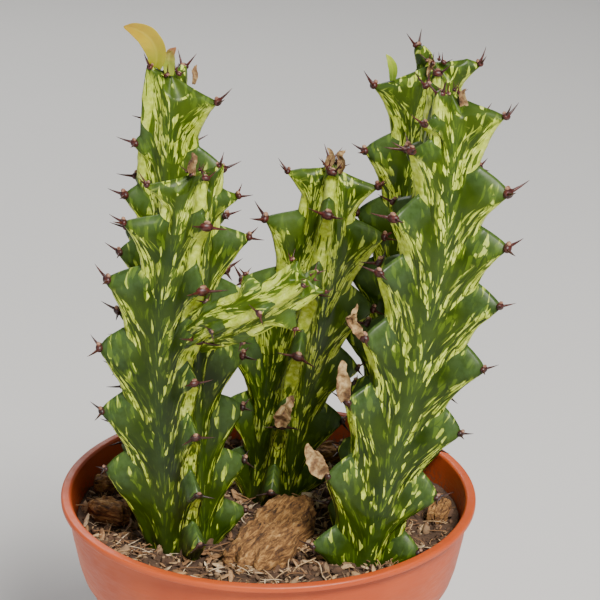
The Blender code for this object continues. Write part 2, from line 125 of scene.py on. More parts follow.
BRANCH = dict(
    path=[(-17.5, -29.5, 133), (-12, -36, 138), (-3, -42, 144), (6, -45.5, 151), (12, -47.5, 157.5)],
    ribs=[
        (70, (6, 8.0, 5.0), (16, 29, 39)),
        (155, (6, 8.0, 4.2), (13, 26, 38)),
        (245, (6, 8.5, 4.8), (10, 24, 38)),
        (348, (6, 7.5, 4.2), (13.5, 27, 38.5)),
    ],
    length=39.0, slim=0.62, side=(0.3, -1.0, 0.2), start=0.0, cream=0.05, fresh=0.9,
)


# ---------------------------------------------------------------- small helpers

def put_in_scene(name, mesh, mat=None):
    obj = bpy.data.objects.new(name, mesh)
    bpy.context.scene.collection.objects.link(obj)
    if mat is not None:
        mesh.materials.append(mat)
    return obj


def mesh_from_points(name, points_mm, faces):
    mesh = bpy.data.meshes.new(name)
    mesh.from_pydata((np.asarray(points_mm, float) * MM).tolist(), [], faces)
    mesh.update()
    mesh.shade_smooth()
    return mesh


def add_attribute(mesh, name, kind, domain, values):
    layer = mesh.attributes.new(name, kind, domain)
    field = "vector" if kind == "FLOAT_VECTOR" else "value"
    layer.data.foreach_set(field, np.asarray(values, np.float32).ravel())


def make_outward(mesh):
    bm = bmesh.new()
    bm.from_mesh(mesh)
    bmesh.ops.recalc_face_normals(bm, faces=bm.faces)
    if bm.calc_volume(signed=True) < 0:
        bmesh.ops.reverse_faces(bm, faces=bm.faces)
    bm.to_mesh(mesh)
    bm.free()


def smooth_step(low, high, x):
    t = np.clip((x - low) / (high - low), 0.0, 1.0)
    return t * t * (3 - 2 * t)


# ---------------------------------------------------------------- material helpers

def new_material(name, colour, roughness):
    mat = bpy.data.materials.new(name)
    mat.use_nodes = True
    shader = mat.node_tree.nodes["Principled BSDF"]
    shader.inputs["Base Color"].default_value = (*colour, 1.0)
    shader.inputs["Roughness"].default_value = roughness
    shader.inputs["Metallic"].default_value = 0.0
    return mat, mat.node_tree, shader


def link(tree, source, target):
    tree.links.new(source, target)


def attribute(tree, name):
    node = tree.nodes.new("ShaderNodeAttribute")
    node.attribute_name = name
    return node


def object_coords(tree):
    return tree.nodes.new("ShaderNodeTexCoord").outputs["Object"]


def scaled(tree, vector, scale, shift=(0.0, 0.0, 0.0)):
    node = tree.nodes.new("ShaderNodeMapping")
    node.inputs["Scale"].default_value = scale
    node.inputs["Location"].default_value = shift
    link(tree, vector, node.inputs["Vector"])
    return node.outputs["Vector"]


def fine_noise(tree, vector, scale, detail=3.0, rough=0.55, distortion=0.0):
    node = tree.nodes.new("ShaderNodeTexNoise")
    node.inputs["Scale"].default_value = scale
    node.inputs["Detail"].default_value = detail
    node.inputs["Roughness"].default_value = rough
    node.inputs["Distortion"].default_value = distortion
    link(tree, vector, node.inputs["Vector"])
    return node.outputs["Fac"]


def calc(tree, operation, *terms):
    made = tree.nodes.new("ShaderNodeMath")
    made.operation = operation
    for socket, value in zip(made.inputs, terms):
        if isinstance(value, bpy.types.NodeSocket):
            link(tree, value, socket)
        else:
            socket.default_value = value
    return made.outputs[0]


def spread(tree, value, low, high, to_low=0.0, to_high=1.0):
    node = tree.nodes.new("ShaderNodeMapRange")
    node.interpolation_type = "SMOOTHSTEP"
    node.inputs["From Min"].default_value = low
    node.inputs["From Max"].default_value = high
    node.inputs["To Min"].default_value = to_low
    node.inputs["To Max"].default_value = to_high
    link(tree, value, node.inputs["Value"])
    return node.outputs["Result"]


def blend_colours(tree, fac, a, b, mode="MIX"):
    node = tree.nodes.new("ShaderNodeMix")
    node.data_type = "RGBA"
    node.blend_type = mode
    for socket, value in ((node.inputs["Factor"], fac), (node.inputs[6], a), (node.inputs[7], b)):
        if isinstance(value, (int, float)):
            socket.default_value = value
        elif isinstance(value, tuple):
            socket.default_value = (*value, 1.0)
        else:
            link(tree, value, socket)
    return node.outputs[2]


def colour_ramp(tree, value, stops):
    node = tree.nodes.new("ShaderNodeValToRGB")
    ramp = node.color_ramp
    while len(ramp.elements) < len(stops):
        ramp.elements.new(0.5)
    for element, (place, colour) in zip(ramp.elements, stops):
        element.position = place
        element.color = (*colour, 1.0)
    link(tree, value, node.inputs["Fac"])
    return node.outputs["Color"]


def add_bump(tree, shader, height, strength, distance_mm, below=None):
    node = tree.nodes.new("ShaderNodeBump")
    node.inputs["Strength"].default_value = strength
    node.inputs["Distance"].default_value = distance_mm * MM
    link(tree, height, node.inputs["Height"])
    if below is not None:
        link(tree, below, node.inputs["Normal"])
    link(tree, node.outputs["Normal"], shader.inputs["Normal"])
    return node.outputs["Normal"]


# ---------------------------------------------------------------- stems: skin

class CentreLine:
    """Smooth curve through the given points, with a frame that turns as little as it can. Stations
    may be arrays of any shape."""

    def __init__(self, points, side=(1.0, 0.0, 0.0)):
        self.points = np.array(points, float)
        steps = np.linalg.norm(np.diff(self.points, axis=0), axis=1)
        self.knots = np.concatenate([[0.0], np.cumsum(steps)])
        self.side = np.array(side, float)
        self.slopes = np.gradient(self.points, self.knots, axis=0)

    def at(self, stations):
        s = np.asarray(stations, float)
        k = self.knots
        inside = np.clip(s, 0.0, k[-1])
        i = np.clip(np.searchsorted(k, inside, side="right") - 1, 0, len(k) - 2)
        h = (k[i + 1] - k[i])[..., None]
        t = (inside - k[i])[..., None] / h
        p0, p1 = self.points[i], self.points[i + 1]
        m0, m1 = self.slopes[i] * h, self.slopes[i + 1] * h
        pos = (2*t**3 - 3*t**2 + 1)*p0 + (t**3 - 2*t**2 + t)*m0 + (3*t**2 - 2*t**3)*p1 + (t**3 - t**2)*m1
        tan = ((6*t**2 - 6*t)*(p0 - p1) + (3*t**2 - 4*t + 1)*m0 + (3*t**2 - 2*t)*m1) / h
        tan = tan / np.linalg.norm(tan, axis=-1, keepdims=True)
        pos = pos + tan * (s - inside)[..., None]
        across = self.side - tan * (tan @ self.side)[..., None]
        across = across / np.linalg.norm(across, axis=-1, keepdims=True)
        return pos, across, np.cross(tan, across), tan


def rib_reaches(rib):
    """Reach of each tooth of a rib, blended from its bottom, middle and top values."""
    low, mid, top = rib[1]
    x = np.linspace(0.0, 1.0, len(rib[2]))
    lower = low + (mid - low) * (x / 0.5)
    upper = mid + (top - mid) * ((x - 0.5) / 0.5)**2
    return np.where(x < 0.5, lower, upper)


def margin_reach(stations, tips, reaches, depth):
    """Distance of a rib's margin from the centre line: a saw of teeth, each with a short shoulder
    above its tip and a long edge sweeping out of the notch below it."""
    tips = np.asarray(tips, float)
    out = []
    for s in stations:
        if s <= tips[0]:
            low = 0.45 * reaches[0]
            x = max(0.0, (s + BURIED) / (tips[0] + BURIED))
            out.append(low + (reaches[0] - low) * x**2.2)
            continue
        if s >= tips[-1]:
            out.append(reaches[-1] - (s - tips[-1]) * 3.5)
            continue
        j = int(np.searchsorted(tips, s, side="right")) - 1
        pitch = tips[j + 1] - tips[j]
        x = (s - tips[j]) / pitch
        least = min(reaches[j], reaches[j + 1])
        notch = least - min(depth, 0.45 * least + 0.1 * pitch)
        if x < 0.30:
            out.append(reaches[j] + (notch - reaches[j]) * (x / 0.30)**1.5)
        else:
            y = (x - 0.30) / 0.70
            out.append(notch + (reaches[j + 1] - notch) * (0.40 * y + 0.60 * y**2.2))
    return np.array(out)


def rib_rows(tips, count, start, end):
    """Stations of one rib's rows, moved a little so that rows land on the tips and the notches, and
    for each row the tooth it belongs to. A rib ends just above its last tooth."""
    end = min(end, tips[-1] + CROWN_SHOULDER)
    span = end - start
    keys = {0: start, count: end}
    notch_rows = []
    for j, tip in enumerate(tips):
        row = min(round(count * (tip - start) / span), count - 6)
        if 0 < row < count:
            keys[row] = tip
        if j + 1 < len(tips):
            following = round(count * (tips[j + 1] - start) / span)
            notch_row = row + max(1, round(0.30 * (following - row)))
            keys[notch_row] = tip + 0.30 * (tips[j + 1] - tip)
            notch_rows.append(notch_row)
    order = sorted(keys)
    stations = np.interp(range(count + 1), order, [keys[r] for r in order])
    tooth = np.searchsorted(notch_rows, np.arange(count) + 0.5)
    return stations, tooth


def rib_bearing(rib, x):
    low, high = rib[0] if isinstance(rib[0], tuple) else (rib[0], rib[0])
    return np.radians(low + (high - low) * np.clip(x, 0.0, 1.0)**2)


def half_section(reach, flank, valley, half, thick, tipness, parts):
    """Section from a rib's margin to the valley beside it for every row: distance along the rib's
    bearing and distance to the side. Teeth narrow to a blunt point at their tips. The flank's own,
    more even, reach keeps the teeth from running on into the valley."""
    cap = np.minimum(2.2 + 1.6 * tipness, 0.34 * reach)[:, None]
    reach, flank, valley, half, thick = (a[:, None] for a in (reach, flank, valley, half, thick))
    p = parts[None, :]
    turn = 0.5 * math.pi * np.minimum(p / 0.2, 1.0)
    cap_along = reach - cap + cap * np.cos(turn)
    cap_side = thick * np.sin(turn)
    t = np.clip((p - 0.2) / 0.8, 0.0, 1.0)
    end_along, end_side = valley * np.cos(half), valley * np.sin(half)
    pull = np.minimum(0.38 * valley, (end_side - 0.9 * thick) / np.cos(half))
    a = (reach - cap, end_along + 0.42 * (flank - cap - end_along), end_along + pull * np.sin(half), end_along)
    b = (thick, thick + 0.5, end_side - pull * np.cos(half), end_side)
    w = ((1 - t)**3, 3*t*(1 - t)**2, 3*t**2*(1 - t), t**3)
    along = sum(wi * ai for wi, ai in zip(w, a))
    side = sum(wi * bi for wi, bi in zip(w, b))
    return np.where(p < 0.2, cap_along, along), np.where(p < 0.2, cap_side, side)


def grow_stem(name, spec, number, mat):
    """The skin of one stem, with the course of its streaks and how pale it is kept on it."""
    steps = 18
    slim = spec.get("slim", 1.0)
    start = spec.get("start", -BURIED)
    length = spec["length"]
    ribs = spec["ribs"]
    line = CentreLine(spec["path"], spec.get("side", (1.0, 0.0, 0.0)))
    count = int(round((length - start) / 16.0 * 34))
    even = np.linspace(start, length, count + 1)
    parts = np.concatenate([np.linspace(0, 0.2, 6)[:-1], np.linspace(0.2, 1.0, steps - 4)])
    fade = np.clip((even - start) / 14.0, 0.0, 1.0)
    sunk = np.clip((even - start) / 32.0, 0.0, 1.0) * (0.5 + 0.5 * np.clip((length - even) / 30.0, 0.0, 1.0))
    crown = np.clip((length - even) / 22.0, 0.0, 1.0)
    base_valley = VALLEY_RADIUS * slim * (0.62 + 0.38 * crown**0.6) * (0.8 + 0.2 * fade)
    bearings = [rib_bearing(rib, even / length) for rib in ribs]
    grid = np.zeros((count + 1, 2 * steps * len(ribs), 3))
    skin, quads = ([], [], [], [], []), []
    total = grid.shape[1]
    for k, rib in enumerate(ribs):
        stations, tooth = rib_rows(rib[2], count, start, length)
        reaches = rib_reaches(rib)
        reach = np.maximum(margin_reach(stations, rib[2], reaches, TOOTH_DEPTH * slim), base_valley + 1.5)
        tips = np.asarray(rib[2], float)
        nearest = np.abs(stations[:, None] - tips[None, :]).min(axis=1)
        flank = np.convolve(np.pad(reach, 17, mode="edge"), np.hanning(35) / np.hanning(35).sum(), "valid")
        flank = 0.9 * flank + 0.1 * reach
        tipness = np.exp(-(nearest / 1.6)**2)
        shoulder = np.exp(-((nearest - 0.5) / 2.6)**2)
        thick = RIB_HALF_THICK * slim * (0.62 + 0.25 * crown + 0.16 * shoulder)
        first = 2 * steps * k
        for sign in (-1, 1):
            other = bearings[(k + sign) % len(ribs)]
            half = ((other - bearings[k]) * sign) % (2 * math.pi) / 2
            valley = np.maximum(base_valley, (thick + 1.1) / np.sin(half))
            if sign < 0:
                valley = np.maximum(valley, base_valley)
            along, aside = half_section(reach, flank, valley, half, thick, tipness, parts)
            aside = aside * sign
            drop = (FOLD_DROP * slim * sunk)[:, None] * (1.0 - (1.0 - parts[None, :])**1.6)
            s = stations[:, None] + (even - stations)[:, None] * parts[None, :] - drop
            pos, across, ahead, _ = line.at(s)
            c, d = np.cos(bearings[k])[:, None], np.sin(bearings[k])[:, None]
            x, y = along * c - aside * d, along * d + aside * c
            points = pos + across * x[..., None] + ahead * y[..., None]
            for m in range(steps + 1):
                if m == steps and sign < 0:
                    continue
                grid[:, (first + steps - 1 + sign * m) % total] = points[:, m]

            lateral = np.concatenate([np.zeros((count + 1, 1)), np.cumsum(np.hypot(
                np.diff(along, axis=1), np.diff(aside, axis=1)), axis=1)], axis=1)
            tip_of = tips[tooth]
            streaks = streak_course(stations, s, tip_of, drop, lateral, parts, spec, number * 4 + k, tooth)
            for m in range(steps):
                near, far = (m, m + 1) if sign > 0 else (m + 1, m)
                c0 = (first + steps - 1 + sign * near) % total
                c1 = (first + steps - 1 + sign * far) % total
                i = np.arange(count)
                quads.append(np.stack([i*total + c0, i*total + c1, (i + 1)*total + c1, (i + 1)*total + c0], 1))
                for store, values in zip(skin, streaks):
                    low, high = values
                    store.append(np.stack([low[:, near], low[:, far], high[:, far], high[:, near]], 1))
    return close_stem(name, spec, line, grid, quads, skin, mat)


def streak_course(stations, actual, tip_of, drop, lateral, parts, spec, rib_number, tooth):
    """Streaks spring from each tooth's tip, run down its margin and fan inward and down; nearer the
    valley they run along the stem. Gives, for the lower and upper corners of every face: the course
    from the tooth (which streak, how far along it, which tooth), the course along the flank, how much
    of the skin is pale there (less low on the stem, partly as painted shade), how far the fan holds,
    and its place (below the tip, height, part)."""
    results = []
    for rows in (slice(0, -1), slice(1, None)):
        x = lateral[rows]
        ones = np.ones_like(x)
        margin_below = (tip_of - stations[rows])[:, None] * ones
        below = margin_below + drop[rows]
        reach_down = np.maximum(below, 0.0) + 2.2
        which = x / (1.0 - np.exp(-reach_down / 8.0))
        seed = (rib_number * 5.3 + tooth * 1.7)[:, None] * ones
        fan = np.stack([which, np.hypot(x, below), seed], -1)
        up = actual[rows]
        inner = lateral[rows][:, -1:] - x
        slant = inner + 1.5 * np.log(inner + 0.6) - 0.32 * up
        flank = np.stack([slant, up, rib_number * 7.9 * ones], -1)

        p = parts[None, :] * ones
        height = np.clip(stations[rows] / spec["length"], 0.0, 1.0)[:, None] * ones
        # Less pale skin low on the stem: partly duller older skin, partly painted shade on the lower stems.
        lower = 0.42 + 0.58 * smooth_step(0.05, 0.60, height)
        across = np.interp(which, (0.0, 3.0, 4.5, 7.0, 10.0, 13.0), (0.78, 0.72, 0.56, 0.40, 0.16, 0.04))
        cover = (across + spec["cream"] + 0.10 * smooth_step(0.5, 1.0, height)) * lower
        block = np.exp(-(x / 2.6)**4) * smooth_step(0.4, 1.6, margin_below) * smooth_step(12.0, 8.0, margin_below)
        cover = cover + (0.86 - cover) * block * (0.35 + 0.65 * smooth_step(0.1, 0.6, height))
        brow = smooth_step(-1.0, -2.8, margin_below) * smooth_step(12.0, 6.0, x)
        beak = smooth_step(0.5, -0.7, margin_below) * smooth_step(5.0, 2.0, x)
        cheek = smooth_step(1.0, -1.0, margin_below)
        cover = cover * (1.0 - 0.5 * cheek) * (1.0 - 0.85 * np.maximum(brow, beak))
        fanned = smooth_step(0.72, 0.48, p) * smooth_step(-1.0, 2.0, margin_below)
        place = np.stack([margin_below, height, p], -1)
        results.append((fan, flank, cover, fanned, place))
    return tuple(zip(*results))


def close_stem(name, spec, line, grid, quads, skin, mat):
    """Close the foot and the crown, roughen the skin a little and make the mesh."""
    rows, total, _ = grid.shape
    edge = grid[-1]
    centre = line.at(spec["length"] - CROWN_DIP * spec.get("slim", 1.0))[0]
    lift = line.at(spec["length"])[3]
    caps = []
    for c in range(1, 9):
        k = 1.0 - c / 9.0
        caps.append(centre + (edge - centre) * k + lift * (0.8 * (1 - k)**2))
    grid = np.concatenate([grid, np.array(caps)], axis=0)
    points = grid.reshape(-1, 3)
    middle = line.at(np.linspace(spec.get("start", -BURIED), spec["length"], rows))[0]
    middle = np.concatenate([middle, np.repeat(centre[None], 8, axis=0)])
    outward = points - np.repeat(middle, total, axis=0)
    outward /= np.maximum(np.linalg.norm(outward, axis=1, keepdims=True), 1e-6)
    rough = np.array([noise.noise(Vector(p * 0.16)) * 0.35 + noise.noise(Vector(p * 0.55)) * 0.16 for p in points])
    points = points + outward * rough[:, None]
    foot = line.at(spec.get("start", -BURIED))[0]
    top = centre + lift * 0.8
    points = np.concatenate([points, [foot, top]])
    faces = np.concatenate(quads)
    extra = []
    for i in range(rows - 1, rows + 7):
        for c in range(total):
            d = (c + 1) % total
            extra.append((i*total + c, i*total + d, (i + 1)*total + d, (i + 1)*total + c))
    last = (rows + 7) * total
    ends = []
    for c in range(total):
        d = (c + 1) % total
        ends.append((len(points) - 2, d, c))
        ends.append((len(points) - 1, last + c, last + d))
    mesh = mesh_from_points(name, points, faces.tolist() + extra + ends)
    spare = [i for face in extra + ends for i in face]
    crown = points[spare] * (1.2, 1.2, 0.5)
    fan, flank, cover, fanned, place = (np.concatenate(values) for values in skin)
    add_attribute(mesh, "streak_fan", "FLOAT_VECTOR", "CORNER", np.concatenate([fan.reshape(-1, 3), crown]))
    add_attribute(mesh, "streak_flank", "FLOAT_VECTOR", "CORNER", np.concatenate([flank.reshape(-1, 3), crown]))
    add_attribute(mesh, "pale_share", "FLOAT", "CORNER", np.concatenate([cover.ravel(), np.full(len(spare), 0.2)]))
    add_attribute(mesh, "fanned", "FLOAT", "CORNER", np.concatenate([fanned.ravel(), np.zeros(len(spare))]))
    add_attribute(mesh, "place", "FLOAT_VECTOR", "CORNER", np.concatenate(
        [place.reshape(-1, 3), np.tile((-1.0, 1.0, 0.3), (len(spare), 1))]))
    add_attribute(mesh, "fresh", "FLOAT", "POINT", np.full(len(points), spec["fresh"]))
    return put_in_scene(name, mesh, mat)


def streak_cells(tree, course, stretch, share):
    """Long pale cells along a course, parted by thin green lines. Returns the pale and the half-pale."""
    vector = scaled(tree, course, stretch)
    bend = tree.nodes.new("ShaderNodeTexNoise")
    bend.inputs["Scale"].default_value = 0.9
    link(tree, vector, bend.inputs["Vector"])
    shifted = tree.nodes.new("ShaderNodeVectorMath")
    shifted.operation = "MULTIPLY_ADD"
    link(tree, bend.outputs["Color"], shifted.inputs[0])
    shifted.inputs[1].default_value = (0.9, 0.9, 0.0)
    link(tree, vector, shifted.inputs[2])
    cell, edge = tree.nodes.new("ShaderNodeTexVoronoi"), tree.nodes.new("ShaderNodeTexVoronoi")
    edge.feature = "DISTANCE_TO_EDGE"
    for made in (cell, edge):
        made.inputs["Scale"].default_value = 1.0
        link(tree, shifted.outputs[0], made.inputs["Vector"])
    chance = tree.nodes.new("ShaderNodeSeparateColor")
    link(tree, cell.outputs["Color"], chance.inputs[0])
    clumps = calc(tree, "MULTIPLY", calc(tree, "SUBTRACT", fine_noise(tree, vector, 0.45, 2.0), 0.5), 0.9)
    margin = calc(tree, "SUBTRACT", calc(tree, "ADD", share, clumps), chance.outputs[0])
    line = calc(tree, "MAXIMUM", spread(tree, edge.outputs["Distance"], 0.02, 0.11), spread(tree, share, 0.66, 0.88))
    pale = calc(tree, "MULTIPLY", spread(tree, margin, -0.05, 0.04), line)
    half = calc(tree, "MULTIPLY", spread(tree, margin, -0.34, -0.10), calc(tree, "MAXIMUM", line, 0.35))
    return pale, half


def stem_skin():
    """Waxy dark green skin with broken cream streaks, and a grey veil above the spines and in the valleys that is
    partly waxy bloom and partly painted highlight and sheen.
    """
    mat, tree, shader = new_material("stem_skin", (0.05, 0.12, 0.02), 0.38)
    share = attribute(tree, "pale_share").outputs["Fac"]
    fresh = attribute(tree, "fresh").outputs["Fac"]
    split = tree.nodes.new("ShaderNodeSeparateXYZ")
    link(tree, attribute(tree, "place").outputs["Vector"], split.inputs[0])
    below, height, part = split.outputs
    coords = object_coords(tree)

    fan = streak_cells(tree, attribute(tree, "streak_fan").outputs["Vector"], (1.05, 0.27, 1.0), share)
    flank = streak_cells(tree, attribute(tree, "streak_flank").outputs["Vector"], (0.90, 0.36, 1.0), share)
    fanned = attribute(tree, "fanned").outputs["Fac"]
    pale, half = (calc(tree, "ADD", calc(tree, "MULTIPLY", near, fanned),
                       calc(tree, "MULTIPLY", far, calc(tree, "SUBTRACT", 1.0, fanned)))
                  for near, far in zip(fan, flank))

    tone = fine_noise(tree, coords, 130.0, 3.0)
    mottle = fine_noise(tree, coords, 650.0, 3.0)
    dark = colour_ramp(tree, tone, [(0.35, (0.010, 0.024, 0.0004)), (0.65, (0.026, 0.050, 0.0008))])
    young = colour_ramp(tree, tone, [(0.35, (0.034, 0.070, 0.001)), (0.65, (0.070, 0.118, 0.002))])
    lift = calc(tree, "ADD", calc(tree, "MULTIPLY", fresh, 0.8), spread(tree, height, 0.55, 1.0, 0.0, 0.3))
    green = blend_colours(tree, lift, dark, young)
    green = blend_colours(tree, calc(tree, "MULTIPLY", half, 0.55), green, (0.120, 0.200, 0.006))
    cream = colour_ramp(tree, mottle, [(0.3, (0.34, 0.43, 0.022)), (0.5, (0.54, 0.65, 0.065)), (0.72, (0.76, 0.86, 0.20))])
    skin = blend_colours(tree, pale, green, cream)

    # Grey veil: partly the skin's waxy bloom, partly a painted highlight on the shoulders just above the spines and a
    # painted sheen in the valleys.
    crest = spread(tree, part, 0.42, 0.12)
    shoulder_bloom_and_highlight = calc(tree, "MULTIPLY", spread(tree, below, 0.3, -1.5, 0.0, 0.36), crest)
    bloom_and_sheen_veil = calc(tree, "MAXIMUM", shoulder_bloom_and_highlight, spread(tree, part, 0.62, 1.0, 0.0, 0.12))
    bloom_and_sheen_veil = calc(tree, "MULTIPLY", bloom_and_sheen_veil, spread(tree, mottle, 0.3, 0.65, 0.5, 1.0))
    skin = blend_colours(tree, bloom_and_sheen_veil, skin, (0.10, 0.18, 0.06))
    link(tree, skin, shader.inputs["Base Color"])
    link(tree, spread(tree, tone, 0.3, 0.7, 0.30, 0.44), shader.inputs["Roughness"])
    shader.inputs["Specular IOR Level"].default_value = 0.22
    shader.inputs["Subsurface Weight"].default_value = 0.08
    shader.inputs["Subsurface Radius"].default_value = (0.6, 1.0, 0.2)
    shader.inputs["Subsurface Scale"].default_value = 0.0012
    swell = add_bump(tree, shader, pale, 0.25, 0.15)
    add_bump(tree, shader, fine_noise(tree, coords, 1500.0, 2.0), 0.12, 0.12, swell)
    return mat


# ---------------------------------------------------------------- geometry node helpers

def new_tree(name, inputs):
    """A geometry tree with the given named inputs. Returns it with its input and output nodes."""
    tree = bpy.data.node_groups.new(name, "GeometryNodeTree")
    tree.interface.new_socket(name="Geometry", in_out="INPUT", socket_type="NodeSocketGeometry")
    for label, kind in inputs:
        tree.interface.new_socket(name=label, in_out="INPUT", socket_type="NodeSocket" + kind)
    tree.interface.new_socket(name="Geometry", in_out="OUTPUT", socket_type="NodeSocketGeometry")
    return tree, tree.nodes.new("NodeGroupInput"), tree.nodes.new("NodeGroupOutput")


def node(tree, kind, settings=None, **inputs):
    """A node with its settings, and its inputs by name (spaces as underscores) set or linked."""
    made = tree.nodes.new(kind)
    for key, value in (settings or {}).items():
        setattr(made, key, value)
    for key, value in inputs.items():
        socket = next(s for s in made.inputs if s.name == key.replace("_", " ") and s.enabled)
        if isinstance(value, bpy.types.NodeSocket):
            tree.links.new(value, socket)
        else:
            socket.default_value = value
    return made


def out(made, name=None):
    if name is None:
        return next(s for s in made.outputs if s.enabled)
    return next(s for s in made.outputs if s.name == name and s.enabled)


def joined(tree, parts):
    join = tree.nodes.new("GeometryNodeJoinGeometry")
    for part in parts:
        tree.links.new(part, join.inputs[0])
    return join.outputs[0]


def grow_with(obj, tree, values):
    """Run a tree on an object with the given input values and keep the result as a plain mesh."""
    mod = obj.modifiers.new(tree.name, "NODES")
    mod.node_group = tree
    for item in tree.interface.items_tree:
        if item.item_type == "SOCKET" and item.in_out == "INPUT" and item.name in values:
            mod[item.identifier] = values[item.name]
    depsgraph = bpy.context.evaluated_depsgraph_get()
    mesh = bpy.data.meshes.new_from_object(
        obj.evaluated_get(depsgraph), preserve_all_data_layers=True, depsgraph=depsgraph)
    obj.modifiers.remove(mod)
    obj.data = mesh
    mesh.name = obj.name
    return obj


# ---------------------------------------------------------------- spines

def spine_tree():
    """On every tooth's tip: a horny shield, wider than high, that runs out into two spines, with the
    scar of its leaf on top. The points carry which way is out and which is up, the size, how far the
    spines part, and the age."""
    tree, source, result = new_tree("spine pairs", [
        ("Spine Length", "Float"), ("Spine Root Radius", "Float"), ("Shield Width", "Float"),
        ("Shield Height", "Float"), ("Shield Thickness", "Float"), ("Seed", "Int"),
        ("Horn", "Material"), ("Scar", "Material"),
    ])
    get = source.outputs
    place = out(node(tree, "GeometryNodeInputPosition"))
    height = node(tree, "ShaderNodeSeparateXYZ", Vector=place).outputs["Z"]
    bend = calc(tree, "MULTIPLY", calc(tree, "POWER", height, 2.0), 22.0)
    ball = out(node(tree, "GeometryNodeMeshUVSphere", Segments=12, Rings=7, Radius=1.0), "Mesh")
    size = node(tree, "ShaderNodeCombineXYZ", X=get["Shield Width"], Y=get["Shield Height"],
                Z=get["Shield Thickness"])
    shield = out(node(tree, "GeometryNodeTransform", Geometry=ball, Scale=out(size)))
    knob = out(node(tree, "GeometryNodeTransform", Geometry=ball, Translation=(0, 0.00095, 0.00025),
                    Scale=(0.00072, 0.00045, 0.00050)))
    forms = []
    for spread_angle in (0.50, 0.78, 1.02):
        cone = node(tree, "GeometryNodeMeshCone", {"fill_type": "NGON"}, Vertices=8, Side_Segments=4,
                    Radius_Top=0.00003, Radius_Bottom=get["Spine Root Radius"], Depth=get["Spine Length"])
        bent = node(tree, "GeometryNodeSetPosition", Geometry=out(cone, "Mesh"),
                    Offset=out(node(tree, "ShaderNodeCombineXYZ", Y=bend)))
        parts = [shield]
        for side in (-1.0, 1.0):
            parts.append(out(node(tree, "GeometryNodeTransform", Geometry=out(bent),
                                  Translation=(side * 0.0007, 0.0, 0.0001),
                                  Rotation=(0.0, side * spread_angle, 0.0))))
        horn = out(node(tree, "GeometryNodeStoreNamedAttribute", {"data_type": "FLOAT", "domain": "FACE"},
                        Geometry=joined(tree, parts), Name="scar", Value=0.0))
        scar = out(node(tree, "GeometryNodeStoreNamedAttribute", {"data_type": "FLOAT", "domain": "FACE"},
                        Geometry=knob, Name="scar", Value=1.0))
        forms.append(out(node(tree, "GeometryNodeGeometryToInstance", Geometry=joined(tree, [horn, scar]))))

    def point_value(name, kind):
        return out(node(tree, "GeometryNodeInputNamedAttribute", {"data_type": kind}, Name=name), "Attribute")

    aim = node(tree, "FunctionNodeAxesToRotation", {"primary_axis": "Z", "secondary_axis": "Y"},
               Primary_Axis=point_value("outward", "FLOAT_VECTOR"),
               Secondary_Axis=point_value("upward", "FLOAT_VECTOR"))
    jitter = node(tree, "FunctionNodeRandomValue", {"data_type": "FLOAT_VECTOR"},
                  Min=(-0.22, -0.16, -0.22), Max=(0.22, 0.16, 0.22), Seed=get["Seed"])
    turned = node(tree, "FunctionNodeRotateRotation", {"rotation_space": "LOCAL"}, Rotation=out(aim),
                  Rotate_By=out(jitter))
    uneven = node(tree, "FunctionNodeRandomValue", {"data_type": "FLOAT"}, Min=0.84, Max=1.14,
                  Seed=get["Seed"])
    scale = calc(tree, "MULTIPLY", point_value("size", "FLOAT"), out(uneven))
    pairs = node(tree, "GeometryNodeInstanceOnPoints", Points=get["Geometry"], Pick_Instance=True,
                 Instance_Index=point_value("form", "INT"), Instance=joined(tree, forms[::-1]),
                 Rotation=out(turned), Scale=scale)
    solid = out(node(tree, "GeometryNodeRealizeInstances", Geometry=out(pairs)))
    smooth = out(node(tree, "GeometryNodeSetShadeSmooth", Geometry=solid))
    horny = out(node(tree, "GeometryNodeSetMaterial", Geometry=smooth, Material=get["Horn"]))
    scarred = out(node(tree, "GeometryNodeSetMaterial", Geometry=horny, Material=get["Scar"],
                       Selection=calc(tree, "GREATER_THAN", point_value("scar", "FLOAT"), 0.5)))
    tree.links.new(scarred, result.inputs[0])
    return tree


def tooth_points(spec, lean, size):
    """Where the spine pairs of one stem stand, which way they face, how big and how old they are.
    Young ones point up and stay close together, old ones point down and part widely."""
    line = CentreLine(spec["path"], spec.get("side", (1.0, 0.0, 0.0)))
    rows = []
    for rib in spec["ribs"]:
        reaches = rib_reaches(rib)
        for tip, reach in zip(rib[2], reaches):
            if tip < 3.5:
                continue
            age = 1.0 - tip / spec["length"]
            bearing = float(rib_bearing(rib, tip / spec["length"]))
            pos, across, ahead, tangent = line.at(tip)
            radial = across * math.cos(bearing) + ahead * math.sin(bearing)
            rise = math.radians(lean - 40.0 * age + 45.0 * max(0.0, 1.0 - age / 0.10))
            outward = radial * math.cos(rise) + tangent * math.sin(rise)
            upward = tangent * math.cos(rise) - radial * math.sin(rise)
            grown = size * (0.80 + 0.30 * min(1.0, age / 0.15)) * (1.0 - 0.30 * age**2)
            form = 0 if age < 0.07 else 1 if age < 0.22 else 2
            rows.append((pos + radial * (max(reach, 5.5) - 0.25), outward, upward, grown, age, form))
    top, _, _, tangent = line.at(spec["length"] - CROWN_DIP * spec.get("slim", 1.0) + 1.0)
    for k in range(4):
        a = 1.1 + k * math.pi / 2
        radial = np.array((math.cos(a), math.sin(a), 0.0))
        outward = radial * 0.45 + tangent * 0.9
        rows.append((top + radial * 2.0, outward, np.cross(tangent, radial), size * 0.5, 0.0, 0))
    return rows


